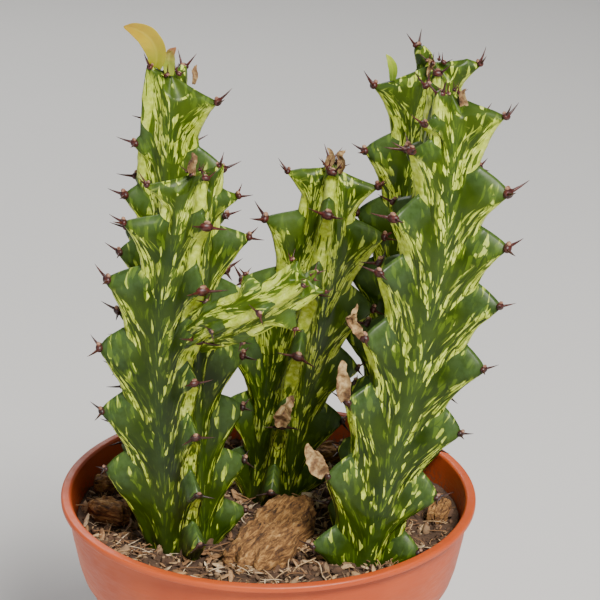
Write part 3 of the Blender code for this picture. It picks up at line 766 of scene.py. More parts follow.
def add_spines(name, spec, lean, size, horn, scar):
    rows = tooth_points(spec, lean, size)
    mesh = bpy.data.meshes.new(name)
    mesh.from_pydata([tuple(r[0] * MM) for r in rows], [], [])
    add_attribute(mesh, "outward", "FLOAT_VECTOR", "POINT", [r[1] for r in rows])
    add_attribute(mesh, "upward", "FLOAT_VECTOR", "POINT", [r[2] for r in rows])
    add_attribute(mesh, "size", "FLOAT", "POINT", [r[3] for r in rows])
    add_attribute(mesh, "age", "FLOAT", "POINT", [r[4] for r in rows])
    forms = mesh.attributes.new("form", "INT", "POINT")
    forms.data.foreach_set("value", [r[5] for r in rows])
    obj = put_in_scene(name, mesh)
    return grow_with(obj, spine_tree(), {
        "Spine Length": 0.0044, "Spine Root Radius": 0.00042, "Shield Width": 0.0015,
        "Shield Height": 0.0010, "Shield Thickness": 0.0009, "Seed": len(rows), "Horn": horn, "Scar": scar,
    })


def horn_finish():
    """Red-brown horn, redder when young and greyer when old."""
    mat, tree, shader = new_material("spine_horn", (0.12, 0.03, 0.02), 0.45)
    age = attribute(tree, "age").outputs["Fac"]
    grain = fine_noise(tree, object_coords(tree), 900.0, 3.0)
    young = blend_colours(tree, spread(tree, grain, 0.35, 0.65), (0.030, 0.005, 0.004), (0.085, 0.014, 0.009))
    old = blend_colours(tree, spread(tree, grain, 0.35, 0.65), (0.014, 0.005, 0.004), (0.050, 0.017, 0.012))
    link(tree, blend_colours(tree, spread(tree, age, 0.15, 0.85), young, old), shader.inputs["Base Color"])
    add_bump(tree, shader, grain, 0.25, 0.15)
    return mat


def scar_finish():
    mat, tree, shader = new_material("leaf_scar", (0.42, 0.22, 0.15), 0.7)
    grain = fine_noise(tree, object_coords(tree), 1300.0, 3.0)
    colour = blend_colours(tree, spread(tree, grain, 0.35, 0.65), (0.16, 0.06, 0.035), (0.42, 0.24, 0.15))
    link(tree, colour, shader.inputs["Base Color"])
    return mat


# ---------------------------------------------------------------- leaves

def margin_point(stem, rib_index, station, off):
    """A point on a rib's margin, or with no rib on the centre line."""
    spec = STEMS[stem]
    if rib_index is None:
        return CentreLine(spec["path"]).at(station)[0]
    rib = spec["ribs"][rib_index]
    bearing = float(rib_bearing(rib, station / spec["length"]))
    reach = float(margin_reach([station], rib[2], rib_reaches(rib), TOOTH_DEPTH)[0]) + off
    pos, across, ahead, _ = CentreLine(spec["path"]).at(station)
    return pos + across * (reach * math.cos(bearing)) + ahead * (reach * math.sin(bearing))


def leaf_blade(name, root, midrib, width, thick, face, curl, crumple, mat):
    """A thin closed blade along a curved midrib, cupped by curl and creased by crumple."""
    start = margin_point(*root)
    line = CentreLine([start + np.array(p, float) for p in midrib], face)
    rows, around = 40, 24
    length = line.knots[-1]
    points, place = [], []
    for i in range(rows):
        x = (i + 0.35) / (rows - 0.3)
        widen = 0.55 + 0.45 * math.sin(0.5 * math.pi * min(1.0, x / 0.42))
        half = 0.5 * width * widen * math.cos(0.5 * math.pi * max(0.0, (x - 0.42) / 0.58))**0.7
        deep = 0.5 * thick * (0.35 + 0.5 * math.sin(math.pi * x))
        pos, outward, aside, _ = line.at(length * x)
        for k in range(around):
            a = 2 * math.pi * k / around
            u, v = math.cos(a), math.sin(a)
            vein = 0.25 * deep * math.exp(-(u / 0.12)**2)
            lift = curl * half * abs(u)**1.6 + deep * v * (1.0 - 0.5 * u * u) - vein
            p = pos + aside * (half * u) + outward * lift
            crease = noise.noise_vector(Vector(p * 0.45)) * 1.1 + noise.noise_vector(Vector(p * 1.2)) * 0.45
            points.append(p + np.array(crease) * crumple * math.sin(math.pi * min(1.0, x * 1.6) / 2))
            place.append((x, u, v))
    points += [line.at(0.0)[0], line.at(length)[0]]
    place += [(0.0, 0.0, 0.0), (1.0, 0.0, 0.0)]
    faces = []
    for i in range(rows - 1):
        for k in range(around):
            m = (k + 1) % around
            faces.append((i*around + k, i*around + m, (i + 1)*around + m, (i + 1)*around + k))
    last = (rows - 1) * around
    for k in range(around):
        m = (k + 1) % around
        faces.append((rows * around, m, k))
        faces.append((rows * around + 1, last + k, last + m))
    mesh = mesh_from_points(name, points, faces)
    make_outward(mesh)
    add_attribute(mesh, "blade", "FLOAT_VECTOR", "POINT", place)
    return put_in_scene(name, mesh, mat)


def live_leaf(name, base, middle, tip):
    """A waxy living leaf that changes colour from its foot to its tip, with a paler midrib."""
    mat, tree, shader = new_material(name, middle, 0.4)
    split = tree.nodes.new("ShaderNodeSeparateXYZ")
    link(tree, attribute(tree, "blade").outputs["Vector"], split.inputs[0])
    mottle = fine_noise(tree, object_coords(tree), 500.0, 3.0)
    along = calc(tree, "ADD", split.outputs["X"], calc(tree, "MULTIPLY", calc(tree, "SUBTRACT", mottle, 0.5), 0.35))
    colour = colour_ramp(tree, along, [(0.08, base), (0.45, middle), (0.92, tip)])
    rib = spread(tree, calc(tree, "ABSOLUTE", split.outputs["Y"]), 0.16, 0.02, 0.0, 0.15)
    link(tree, blend_colours(tree, rib, colour, (0.66, 0.60, 0.10)), shader.inputs["Base Color"])
    shader.inputs["Subsurface Weight"].default_value = 0.15
    shader.inputs["Subsurface Radius"].default_value = (1.0, 0.9, 0.2)
    shader.inputs["Subsurface Scale"].default_value = 0.001
    add_bump(tree, shader, mottle, 0.2, 0.2)
    return mat


def dry_leaf():
    mat, tree, shader = new_material("dry_leaf", (0.4, 0.27, 0.15), 0.85)
    coords = object_coords(tree)
    patchy = fine_noise(tree, coords, 420.0, 5.0, 0.65)
    colour = colour_ramp(tree, patchy, [(0.3, (0.035, 0.016, 0.008)), (0.45, (0.19, 0.10, 0.04)),
                                        (0.58, (0.42, 0.28, 0.12)), (0.78, (0.66, 0.52, 0.30))])
    link(tree, colour, shader.inputs["Base Color"])
    add_bump(tree, shader, patchy, 0.7, 0.5)
    return mat


# name, root on its stem, midrib, width, thickness, facing, curl, crumple
LIVE_LEAVES = [
    ("leaf_yellow", ("stem_left_rear", 3, 119.0, 0.0),
     [(1.4, 0.8, -0.4), (1.9, 0.5, 2.2), (1.5, 0.2, 4.8), (-0.1, 0.1, 7.2), (-2.6, 0.2, 8.6),
      (-5.8, 0.5, 9.3)], 5.4, 0.8, (-0.25, -1.0, 0.1), 0.3, 0.12),
    ("leaf_young", ("stem_left_rear", 3, 119.0, 0.0),
     [(4.8, 1.4, -2.4), (4.5, 1.0, 1.0), (5.0, 0.6, 3.2), (6.3, 0.4, 4.8)], 3.0, 0.8, (0.2, -1, 0.1), 0.5, 0.3),
    ("leaf_small_green", ("stem_right_rear", 2, 112.5, 0.0),
     [(4.6, -0.4, 1.2), (4.6, -0.7, 4.2), (3.9, -0.8, 6.2), (2.9, -0.8, 7.8)], 2.3, 0.8, (0.3, -1, 0.2), 0.4, 0.1),
]
DRY_LEAVES = [
    ("dried_leaf_upper", ("stem_right_front", 2, 61.5, 0.2),
     [(-0.4, -0.4, 0.4), (-1.6, -1.3, 2.5), (-2.6, -1.8, 5.3), (-1.6, -1.8, 8.9)],
     2.8, 0.6, (0.4, -1, 0.1), 0.7, 1.0),
    ("dried_leaf_middle", ("stem_right_front", 2, 44.0, 0.2),
     [(-0.3, -0.3, 0.4), (-0.9, -1.2, 4.0), (-1.2, -1.6, 7.4), (-0.9, -1.4, 11.0)],
     3.6, 0.7, (0.3, -1, 0.0), 0.8, 0.6),
    ("dried_leaf_lower", ("stem_right_front", 2, 24.5, 0.2),
     [(-0.2, -0.2, 0.4), (-1.8, -1.0, 2.4), (-3.2, -1.4, 5.2), (-4.6, -1.4, 8.8)],
     4.4, 1.0, (0.3, -1, 0.0), 0.5, 0.5),
    ("dried_leaf_middle_stem", ("stem_middle", 3, 27.5, 0.2),
     [(0, -0.6, 0.4), (0, -1.2, 3.4), (1.4, -1.7, 6.4), (2.8, -1.6, 9.2)],
     3.8, 0.7, (0.0, -1, 0.1), 0.7, 0.9),
]
# Withered tips of leaves left between the youngest spines.
CROWN_SCRAPS = [
    ("crown_scrap_middle_left", ("stem_middle", None, 92.0, 0.0),
     [(-0.6, -1.0, -1.5), (-1.0, -1.4, 1.4), (-0.3, -1.5, 3.6), (-1.1, -1.3, 5.4)], 2.0, 0.6, (0.2, -1, 0), 0.6, 0.5),
    ("crown_scrap_middle_right", ("stem_middle", None, 92.0, 0.0),
     [(1.8, -0.8, -1.5), (2.4, -1.1, 1.4), (2.0, -1.2, 3.4), (3.3, -1.0, 4.8)], 1.9, 0.6, (-0.3, -1, 0), 0.7, 0.5),
    ("crown_scrap_left_front", ("stem_left_front", None, 99.5, 0.0),
     [(-0.8, -1.2, -2.0), (-1.0, -1.8, 0.6), (-0.4, -2.0, 2.4), (-0.9, -1.8, 3.8)], 2.1, 0.9, (0.2, -1, 0), 0.4, 0.3),
    ("crown_scrap_left_rear", ("stem_left_rear", None, 118.0, 0.0),
     [(5.2, -0.6, -3.5), (5.6, -0.8, -1.6), (5.4, -0.8, 0.2), (6.0, -0.7, 1.4)], 1.3, 0.6, (0.1, -1, 0), 0.5, 0.3),
    ("crown_scrap_right_front", ("stem_right_front", None, 118.0, 0.0),
     [(2.6, -1.4, -3.0), (3.0, -1.8, -0.6), (2.4, -1.9, 1.4), (3.2, -1.8, 3.0)], 1.9, 0.7, (-0.2, -1, 0), 0.5, 0.4),
    ("crown_scrap_right_rear", ("stem_right_rear", None, 118.0, 0.0),
     [(-1.0, -1.4, -3.0), (-1.4, -1.6, -0.8), (-1.0, -1.7, 1.0), (-1.6, -1.6, 2.6)], 1.7, 0.7, (0.2, -1, 0), 0.5, 0.4),
]


# ---------------------------------------------------------------- pot

FOOT = {"Height": 1, "Collar Height": -1}
# Radius and height of each point of the pot's wall, as sums of its sizes, the last one in mm.
WALL_POINTS = [
    ({"Step Radius": 1, "mm": -0.8}, {**FOOT, "mm": -11.0}),
    ({"Step Radius": 1, "mm": -0.2}, {**FOOT, "mm": -7.6}),
    ({"Step Radius": 1, "mm": 1.0}, {**FOOT, "mm": -5.6}),
    ({"Step Radius": 1, "mm": 2.4}, {**FOOT, "mm": -3.3}),
    ({"Step Radius": 1, "mm": 3.4}, {**FOOT, "mm": 0.0}),
    ({"Collar Radius": 1, "mm": -1.0}, {"Height": 1, "Collar Height": -0.51, "mm": 0.0}),
]
POT_POINTS = [
    ({"mm": 0.0}, {"mm": 0.0}),
    ({"Base Radius": 1, "mm": -1.5}, {"mm": 0.0}),
    ({"Base Radius": 1, "mm": 0.0}, {"mm": 1.5}),
    *WALL_POINTS,
    ({"Collar Radius": 1, "mm": -0.4}, {"Height": 1, "Rim Thickness": -1}),
    ({"Rim Radius": 1, "mm": -0.2}, {"Height": 1, "Rim Thickness": -1}),
    ({"Rim Radius": 1, "mm": 0.0}, {"Height": 1, "Rim Thickness": -0.8}),
    ({"Rim Radius": 1, "mm": 0.0}, {"Height": 1, "Rim Thickness": -0.25}),
    ({"Rim Radius": 1, "mm": -0.4}, {"Height": 1}),
    ({"Rim Radius": 1, "mm": -2.1}, {"Height": 1}),
    ({"Rim Radius": 1, "mm": -2.6}, {"Height": 1, "mm": -0.5}),
    *[({**r, "Wall": -1}, {**z, "Wall": 0.25}) for r, z in reversed(WALL_POINTS)],
    ({"Base Radius": 1, "Wall": -1}, {"Floor": 1}),
    ({"mm": 0.0}, {"Floor": 1}),
]


def lathe_tree():
    """A pot turned from its profile, with rounded corners and its seam and poles closed."""
    sizes = ["Rim Radius", "Rim Thickness", "Collar Radius", "Collar Height", "Step Radius",
             "Base Radius", "Height", "Wall", "Floor", "Edge Rounding", "Row Length"]
    tree, source, result = new_tree(
        "turned pot", [(s, "Float") for s in sizes] + [("Sides", "Int"), ("Plastic", "Material")])
    get = source.outputs

    def sum_of(terms):
        total = terms.get("mm", 0.0) * MM
        for key, factor in terms.items():
            if key != "mm":
                total = calc(tree, "MULTIPLY_ADD", get[key], float(factor), total)
        return total

    index = out(node(tree, "GeometryNodeInputIndex"))
    switch = tree.nodes.new("GeometryNodeIndexSwitch")
    switch.data_type = "VECTOR"
    while len(switch.index_switch_items) < len(POT_POINTS):
        switch.index_switch_items.new()
    tree.links.new(index, switch.inputs["Index"])
    for k, (radius, height) in enumerate(POT_POINTS):
        spot = node(tree, "ShaderNodeCombineXYZ", X=sum_of(radius), Z=sum_of(height))
        tree.links.new(out(spot), switch.inputs[k + 1])
    corners = node(tree, "GeometryNodePoints", Count=len(POT_POINTS), Position=out(switch))
    profile = node(tree, "GeometryNodePointsToCurves", Points=out(corners))
    rounded = node(tree, "GeometryNodeFilletCurve", {"mode": "POLY"}, Curve=out(profile), Count=3,
                   Radius=get["Edge Rounding"], Limit_Radius=True)
    along = out(node(tree, "GeometryNodeSplineParameter"), "Length")
    following = node(tree, "GeometryNodeFieldAtIndex", {"data_type": "FLOAT", "domain": "POINT"},
                     Index=calc(tree, "ADD", index, 1.0), Value=along)
    cuts = calc(tree, "DIVIDE", calc(tree, "SUBTRACT", out(following), along), get["Row Length"])
    curve = out(node(tree, "GeometryNodeSubdivideCurve", Curve=out(rounded),
                     Cuts=calc(tree, "MAXIMUM", cuts, 0.0)))
    count = node(tree, "GeometryNodeAttributeDomainSize", {"component": "CURVE"}, Geometry=curve)
    around = calc(tree, "ADD", get["Sides"], 1.0)
    grid = node(tree, "GeometryNodeMeshGrid", Vertices_X=out(count, "Point Count"), Vertices_Y=around)
    row = calc(tree, "FLOOR", calc(tree, "DIVIDE", calc(tree, "ADD", index, 0.5), around))
    column = calc(tree, "SUBTRACT", index, calc(tree, "MULTIPLY", row, around))
    angle = calc(tree, "DIVIDE", calc(tree, "MULTIPLY", column, 2 * math.pi), get["Sides"])
    sample = node(tree, "GeometryNodeSampleIndex", {"data_type": "FLOAT_VECTOR", "domain": "POINT"},
                  Geometry=curve, Value=out(node(tree, "GeometryNodeInputPosition")), Index=row)
    split = node(tree, "ShaderNodeSeparateXYZ", Vector=out(sample)).outputs
    x = calc(tree, "MULTIPLY", split["X"], calc(tree, "COSINE", angle))
    y = calc(tree, "MULTIPLY", split["X"], calc(tree, "SINE", angle))
    spot = node(tree, "ShaderNodeCombineXYZ", X=x, Y=y, Z=split["Z"])
    turned = node(tree, "GeometryNodeSetPosition", Geometry=out(grid, "Mesh"), Position=out(spot))
    closed = node(tree, "GeometryNodeMergeByDistance", Geometry=out(turned), Distance=0.00001)
    smooth = node(tree, "GeometryNodeSetShadeSmooth", Geometry=out(closed))
    solid = node(tree, "GeometryNodeRealizeInstances", Geometry=out(smooth))
    finished = node(tree, "GeometryNodeSetMaterial", Geometry=out(solid), Material=get["Plastic"])
    tree.links.new(out(finished), result.inputs[0])
    return tree


def terracotta_plastic():
    """Moulded terracotta-coloured plastic: nearly even, a little scuffed, with dust and dried mix
    low on the inner wall."""
    mat, tree, shader = new_material("terracotta_plastic", (0.46, 0.085, 0.022), 0.45)
    coords = object_coords(tree)
    cloudy = fine_noise(tree, coords, 45.0, 4.0)
    colour = blend_colours(tree, spread(tree, cloudy, 0.35, 0.65), (0.47, 0.066, 0.010), (0.54, 0.088, 0.016))
    height = tree.nodes.new("ShaderNodeSeparateXYZ")
    link(tree, coords, height.inputs[0])
    scratches = fine_noise(tree, scaled(tree, coords, (1.0, 1.0, 9.0)), 260.0, 5.0, 0.6)
    colour = blend_colours(tree, spread(tree, scratches, 0.64, 0.74, 0.0, 0.25), colour, (0.62, 0.22, 0.11))
    specks = fine_noise(tree, coords, 900.0, 2.0)
    low_dust = calc(tree, "MULTIPLY", spread(tree, height.outputs["Z"], 0.0775, 0.0715), spread(tree, specks, 0.42, 0.62))
    dust = calc(tree, "MULTIPLY", calc(tree, "MULTIPLY", low_dust, attribute(tree, "inside").outputs["Fac"]), 0.75)
    colour = blend_colours(tree, dust, colour, (0.16, 0.095, 0.06))
    link(tree, colour, shader.inputs["Base Color"])
    link(tree, spread(tree, scratches, 0.3, 0.7, 0.38, 0.55), shader.inputs["Roughness"])
    shader.inputs["Subsurface Weight"].default_value = 0.05
    shader.inputs["Subsurface Scale"].default_value = 0.001
    wavy = add_bump(tree, shader, cloudy, 0.15, 0.4)
    add_bump(tree, shader, fine_noise(tree, coords, 2600.0, 2.0), 0.1, 0.05, wavy)
    return mat


def add_pot():
    mesh = bpy.data.meshes.new("pot_body")
    mesh.from_pydata([(0.0, 0.0, 0.0)], [], [])
    obj = grow_with(put_in_scene("pot_body", mesh), lathe_tree(), {
        "Rim Radius": RIM_RADIUS * MM, "Rim Thickness": RIM_THICK * MM, "Collar Radius": COLLAR_RADIUS * MM,
        "Collar Height": COLLAR_HEIGHT * MM, "Step Radius": STEP_RADIUS * MM,
        "Base Radius": BASE_RADIUS * MM, "Height": POT_HEIGHT * MM, "Wall": WALL * MM, "Floor": FLOOR * MM,
        "Edge Rounding": 0.0006, "Row Length": 0.0022, "Sides": 160, "Plastic": terracotta_plastic(),
    })
    make_outward(obj.data)
    inside = [1.0 if v.co.xy.dot(v.normal.xy) < 0 else 0.0 for v in obj.data.vertices]
    add_attribute(obj.data, "inside", "FLOAT", "POINT", inside)
    return obj


# ---------------------------------------------------------------- potting mix

def soil_height(x, y):
    lumps = noise.noise(Vector((x / 9.0, y / 9.0, 3.1))) + 0.5 * noise.noise(Vector((x / 4.0, y / 4.0, 8.7)))
    fine = 0.45 * noise.noise(Vector((x / 1.9, y / 1.9, 5.2))) + 0.22 * noise.noise(Vector((x / 0.8, y / 0.8, 1.4)))
    return SOIL_LEVEL - SOIL_TILT * y + SOIL_BUMP * lumps + fine


def wall_inside():
    """Radius and height of the inner wall below the top of the mix, from the top down."""
    sizes = {"Step Radius": STEP_RADIUS, "Collar Radius": COLLAR_RADIUS, "Base Radius": BASE_RADIUS,
             "Height": POT_HEIGHT, "Collar Height": COLLAR_HEIGHT, "Wall": WALL, "Floor": FLOOR, "mm": 1.0}
    spots = []
    for radius, height in POT_POINTS[-8:-1]:
        spots.append((sum(sizes[k] * f for k, f in radius.items()), sum(sizes[k] * f for k, f in height.items())))
    return spots


def mix_surface(gap, rings, sides):
    """Points of the top of the mix, ring by ring from the middle to the wall."""
    walls = wall_inside()[::-1]
    heights = [z for _, z in walls]
    radii = [r for r, _ in walls]
    points = [(0.0, 0.0, soil_height(0.0, 0.0))]
    for i in range(1, rings + 1):
        for k in range(sides):
            a = 2 * math.pi * k / sides
            r = 49.0 * i / rings
            z = soil_height(r * math.cos(a), r * math.sin(a))
            r = (np.interp(z, heights, radii) - gap) * i / rings
            points.append((r * math.cos(a), r * math.sin(a), z))
    return points


def disc_faces(rings, sides):
    faces = [(0, 1 + k, 1 + (k + 1) % sides) for k in range(sides)]
    for i in range(rings - 1):
        for k in range(sides):
            a, b = 1 + i * sides + k, 1 + i * sides + (k + 1) % sides
            faces.append((a, a + sides, b + sides, b))
    return faces


def add_mix(mat):
    """The whole body of the mix: its rough top, its side along the wall and its bottom."""
    rings, sides = 80, 220
    points = mix_surface(0.12, rings, sides)
    faces = disc_faces(rings, sides)
    last = 1 + (rings - 1) * sides
    for r, z in [(r, z) for r, z in wall_inside() if z < SOIL_LEVEL - 4.0]:
        start = len(points)
        for k in range(sides):
            a = 2 * math.pi * k / sides
            points.append(((r - 0.15) * math.cos(a), (r - 0.15) * math.sin(a), max(z, FLOOR + 0.2)))
        for k in range(sides):
            m = (k + 1) % sides
            faces.append((last + k, start + k, start + m, last + m))
        last = start
    points.append((0.0, 0.0, FLOOR + 0.2))
    for k in range(sides):
        faces.append((last + k, len(points) - 1, last + (k + 1) % sides))
    mesh = mesh_from_points("mix_body", points, faces)
    make_outward(mesh)
    return put_in_scene("mix_body", mesh, mat)


def litter_tree(kind):
    """Pieces strewn over a surface: rough lumps, flat flakes or bent fibres, four shapes of each."""
    tree, source, result = new_tree("strewn " + kind, [
        ("Density", "Float"), ("Piece Size", "Vector"), ("Smallest", "Float"), ("Largest", "Float"),
        ("Tilt", "Float"), ("Lift", "Float"), ("Roughness", "Float"), ("Seed", "Int"), ("Finish", "Material"),
    ])
    get = source.outputs
    shapes = []
    place = out(node(tree, "GeometryNodeInputPosition"))
    for k in range(4):
        if kind == "fibres":
            size = node(tree, "ShaderNodeSeparateXYZ", Vector=get["Piece Size"]).outputs
            ends = []
            for x, y, z in ((-0.5, 0, 0), (-0.2, 0.22 - 0.13 * k, 0.05), (0.2, 0.1 * k - 0.2, 0.12), (0.5, 0.05, 0)):
                ends.append(out(node(tree, "ShaderNodeCombineXYZ", X=calc(tree, "MULTIPLY", size["X"], x),
                                     Y=calc(tree, "MULTIPLY", size["X"], y),
                                     Z=calc(tree, "MULTIPLY", size["X"], z))))
            bent = node(tree, "GeometryNodeCurvePrimitiveBezierSegment", Resolution=6, Start=ends[0],
                        Start_Handle=ends[1], End_Handle=ends[2], End=ends[3])
            tube = node(tree, "GeometryNodeCurvePrimitiveCircle", Resolution=5, Radius=size["Y"])
            shape = out(node(tree, "GeometryNodeCurveToMesh", Curve=out(bent), Profile_Curve=out(tube),
                             Fill_Caps=True))
        else:
            ball = node(tree, "GeometryNodeMeshIcoSphere", Radius=1.0, Subdivisions=2)
            rough = node(tree, "ShaderNodeTexNoise", {"noise_dimensions": "4D"}, Vector=place, W=3.7 * k,
                         Scale=1.3, Detail=2.0)
            swell = calc(tree, "MULTIPLY", calc(tree, "SUBTRACT", out(rough, "Fac"), 0.5), get["Roughness"])
            lumpy = node(tree, "GeometryNodeSetPosition", Geometry=out(ball, "Mesh"),
                         Offset=scaled_vector(tree, place, swell))
            shape = out(node(tree, "GeometryNodeTransform", Geometry=out(lumpy), Scale=get["Piece Size"]))
        shapes.append(out(node(tree, "GeometryNodeGeometryToInstance", Geometry=shape)))
    spots = node(tree, "GeometryNodeDistributePointsOnFaces", Mesh=get["Geometry"], Density=get["Density"],
                 Seed=get["Seed"])
    raised = node(tree, "GeometryNodeSetPosition", Geometry=out(spots, "Points"),
                  Offset=out(node(tree, "ShaderNodeCombineXYZ", Z=get["Lift"])))
    tilt = calc(tree, "MULTIPLY", get["Tilt"], -1.0)
    least = out(node(tree, "ShaderNodeCombineXYZ", X=tilt, Y=tilt, Z=0.0))
    most = out(node(tree, "ShaderNodeCombineXYZ", X=get["Tilt"], Y=get["Tilt"], Z=6.2832))
    turn = node(tree, "FunctionNodeRandomValue", {"data_type": "FLOAT_VECTOR"}, Min=least, Max=most,
                Seed=get["Seed"])
    grade = node(tree, "FunctionNodeRandomValue", {"data_type": "FLOAT"}, Min=0.0, Max=1.0,
                 Seed=calc(tree, "ADD", get["Seed"], 1.0))
    span = calc(tree, "SUBTRACT", get["Largest"], get["Smallest"])
    scale = calc(tree, "MULTIPLY_ADD", calc(tree, "POWER", out(grade), 2.2), span, get["Smallest"])
    strewn = node(tree, "GeometryNodeInstanceOnPoints", Points=out(raised), Instance=joined(tree, shapes),
                  Pick_Instance=True, Rotation=out(turn), Scale=scale)
    tone = node(tree, "FunctionNodeRandomValue", {"data_type": "FLOAT"}, Min=0.0, Max=1.0,
                Seed=calc(tree, "ADD", get["Seed"], 2.0))
    toned = node(tree, "GeometryNodeStoreNamedAttribute", {"data_type": "FLOAT", "domain": "INSTANCE"},
                 Geometry=out(strewn), Name="tone", Value=out(tone))
    smooth = node(tree, "GeometryNodeSetShadeSmooth", Geometry=out(toned))
    solid = node(tree, "GeometryNodeRealizeInstances", Geometry=out(smooth))
    finished = node(tree, "GeometryNodeSetMaterial", Geometry=out(solid), Material=get["Finish"])
    tree.links.new(out(finished), result.inputs[0])
    return tree


def scaled_vector(tree, vector, amount):
    made = tree.nodes.new("ShaderNodeVectorMath")
    made.operation = "SCALE"
    tree.links.new(vector, made.inputs[0])
    tree.links.new(amount, made.inputs["Scale"])
    return made.outputs[0]


def strew(name, kind, finish, seed, density, size_mm, smallest, largest, tilt=3.1, lift=0.2, roughness=1.0):
    """Litter of one kind over the top of the mix, density in pieces per square centimetre."""
    rings, sides = 30, 96
    points = mix_surface(1.6 if kind != "fibres" else 3.2, rings, sides)
    obj = put_in_scene(name, mesh_from_points(name, points, disc_faces(rings, sides)))
    return grow_with(obj, litter_tree(kind), {
        "Density": density * 1e4, "Piece Size": tuple(v * MM for v in size_mm), "Smallest": smallest,
        "Largest": largest, "Tilt": tilt, "Lift": lift * MM, "Roughness": roughness, "Seed": seed,
        "Finish": finish,
    })


def earth_finish(name, dark, light, dusty, tan):
    """Brown peat with paler dust; pieces differ by their tone."""
    mat, tree, shader = new_material(name, dark, 0.95)
    coords = object_coords(tree)
    patchy = fine_noise(tree, coords, 260.0, 5.0, 0.65)
    grain = fine_noise(tree, coords, 1400.0, 4.0, 0.7)
    tone = attribute(tree, "tone").outputs["Fac"]
    shade = calc(tree, "ADD", calc(tree, "MULTIPLY", patchy, 0.6), calc(tree, "MULTIPLY", grain, 0.4))
    colour = colour_ramp(tree, shade, [(0.34, dark), (0.56, light), (0.68, dusty)])
    colour = blend_colours(tree, spread(tree, tone, 0.55, 0.95, 0.0, tan), colour, (0.40, 0.26, 0.14))
    link(tree, colour, shader.inputs["Base Color"])
    add_bump(tree, shader, grain, 0.6, 0.4)
    return mat


def flake_finish():
    """Dry plant scraps from cream through tan to brown."""
    mat, tree, shader = new_material("dry_scraps", (0.45, 0.30, 0.17), 0.9)
    grain = fine_noise(tree, object_coords(tree), 900.0, 4.0, 0.65)
    tone = attribute(tree, "tone").outputs["Fac"]
    colour = colour_ramp(tree, tone, [(0.0, (0.15, 0.07, 0.03)), (0.35, (0.36, 0.19, 0.08)),
                                      (0.7, (0.52, 0.35, 0.18)), (1.0, (0.68, 0.54, 0.36))])
    colour = blend_colours(tree, spread(tree, grain, 0.55, 0.35, 0.0, 0.6), colour, (0.12, 0.06, 0.03))
    link(tree, colour, shader.inputs["Base Color"])
    add_bump(tree, shader, grain, 0.5, 0.3)
    return mat


# ---------------------------------------------------------------- bark

# name, centre with its height above the mix, length, width, thickness, turn, tilt
BARK = [
    ("bark_chunk", (1.5, -20.0, 2.4), 36.0, 15.0, 9.0, 66.0, 3.0),
    ("bark_piece_left", (-39.6, -5.5, 2.0), 12.0, 7.0, 5.0, -32.0, 5.0),
    ("bark_piece_rim", (-42.6, 11.5, 1.2), 6.0, 4.6, 4.0, 20.0, 0.0),
    ("bark_piece_rear", (12.0, 35.0, 0.0), 14.0, 9.0, 5.0, 15.0, -4.0),
    ("bark_piece_right", (43.5, -1.0, 1.5), 8.0, 5.0, 4.0, 70.0, 5.0),
]


def bark_piece(name, centre, length, width, thick, turn, tilt, mat):
    """A broken piece of bark: uneven outline, worn edges, ridges along its length, split layers."""
    seed = centre[0] * 0.37 + centre[1] * 0.11
    turn, tilt = math.radians(turn), math.radians(tilt)
    around, levels, caps = 128, 22, 16
    layers = []
    for i in range(-caps, levels + caps + 1):
        level = min(max(i / levels, 0.0), 1.0) - 0.5
        inset = max(0, -i, i - levels) / (caps + 1)
        edge = 1.0 - 0.20 * abs(2 * level)**3.5
        layers.append((level, edge * (1.0 - inset)))
    points = []
    for level, size in layers:
        for k in range(around):
            a = 2 * math.pi * k / around
            outline = 1.0 + 0.22 * noise.noise(Vector((math.cos(a) * 2.1, math.sin(a) * 2.1, seed)))
            square = 1.0 / max(abs(math.cos(a)), abs(math.sin(a)))**0.55
            split = 0.05 * noise.noise(Vector((a * 0.8, level * thick * 1.6, seed)))
            ragged = 0.09 * noise.noise(Vector((math.cos(a) * 6.0, math.sin(a) * 6.0, seed + level * 2)))
            u = 0.5 * length * outline * square * (size + (split + ragged) * size) * math.cos(a)
            v = 0.5 * width * outline * square * (size + (split * 1.6 + ragged) * size) * math.sin(a)
            ridge = noise.noise(Vector((u * 0.10, v * 0.85, seed + level)))
            ridge = 1.0 - abs(ridge) * 2.4 + 0.5 * noise.noise(Vector((u * 0.35, v * 1.9, seed)))
            pits = noise.noise(Vector((u * 0.8, v * 0.8, seed + 9.0)))
            w = level * thick + u * math.sin(tilt) + 0.5 * noise.noise(Vector((u * 0.2, v * 0.2, seed + level)))
            w += (ridge * 0.55 + pits * 0.35) * (1 if level > 0 else -0.4) * abs(2 * level)**2
            x = centre[0] + u * math.cos(turn) - v * math.sin(turn)
            y = centre[1] + u * math.sin(turn) + v * math.cos(turn)
            points.append((x, y, SOIL_LEVEL + centre[2] + w))
    faces = []
    rows = len(layers)
    for i in range(rows - 1):
        for k in range(around):
            m = (k + 1) % around
            faces.append((i*around + k, i*around + m, (i + 1)*around + m, (i + 1)*around + k))
    foot = np.mean(points[:around], axis=0)
    top = np.mean(points[-around:], axis=0)
    points += [foot, top]
    for k in range(around):
        m = (k + 1) % around
        faces.append((rows * around, m, k))
        faces.append((rows * around + 1, (rows - 1)*around + k, (rows - 1)*around + m))
    mesh = mesh_from_points(name, points, faces)
    make_outward(mesh)
    along = [((math.cos(turn) * p[0] + math.sin(turn) * p[1]) * 0.25,
              math.cos(turn) * p[1] - math.sin(turn) * p[0], p[2] * 1.4) for p in points]
    add_attribute(mesh, "grain_course", "FLOAT_VECTOR", "POINT", along)
    return put_in_scene(name, mesh, mat)


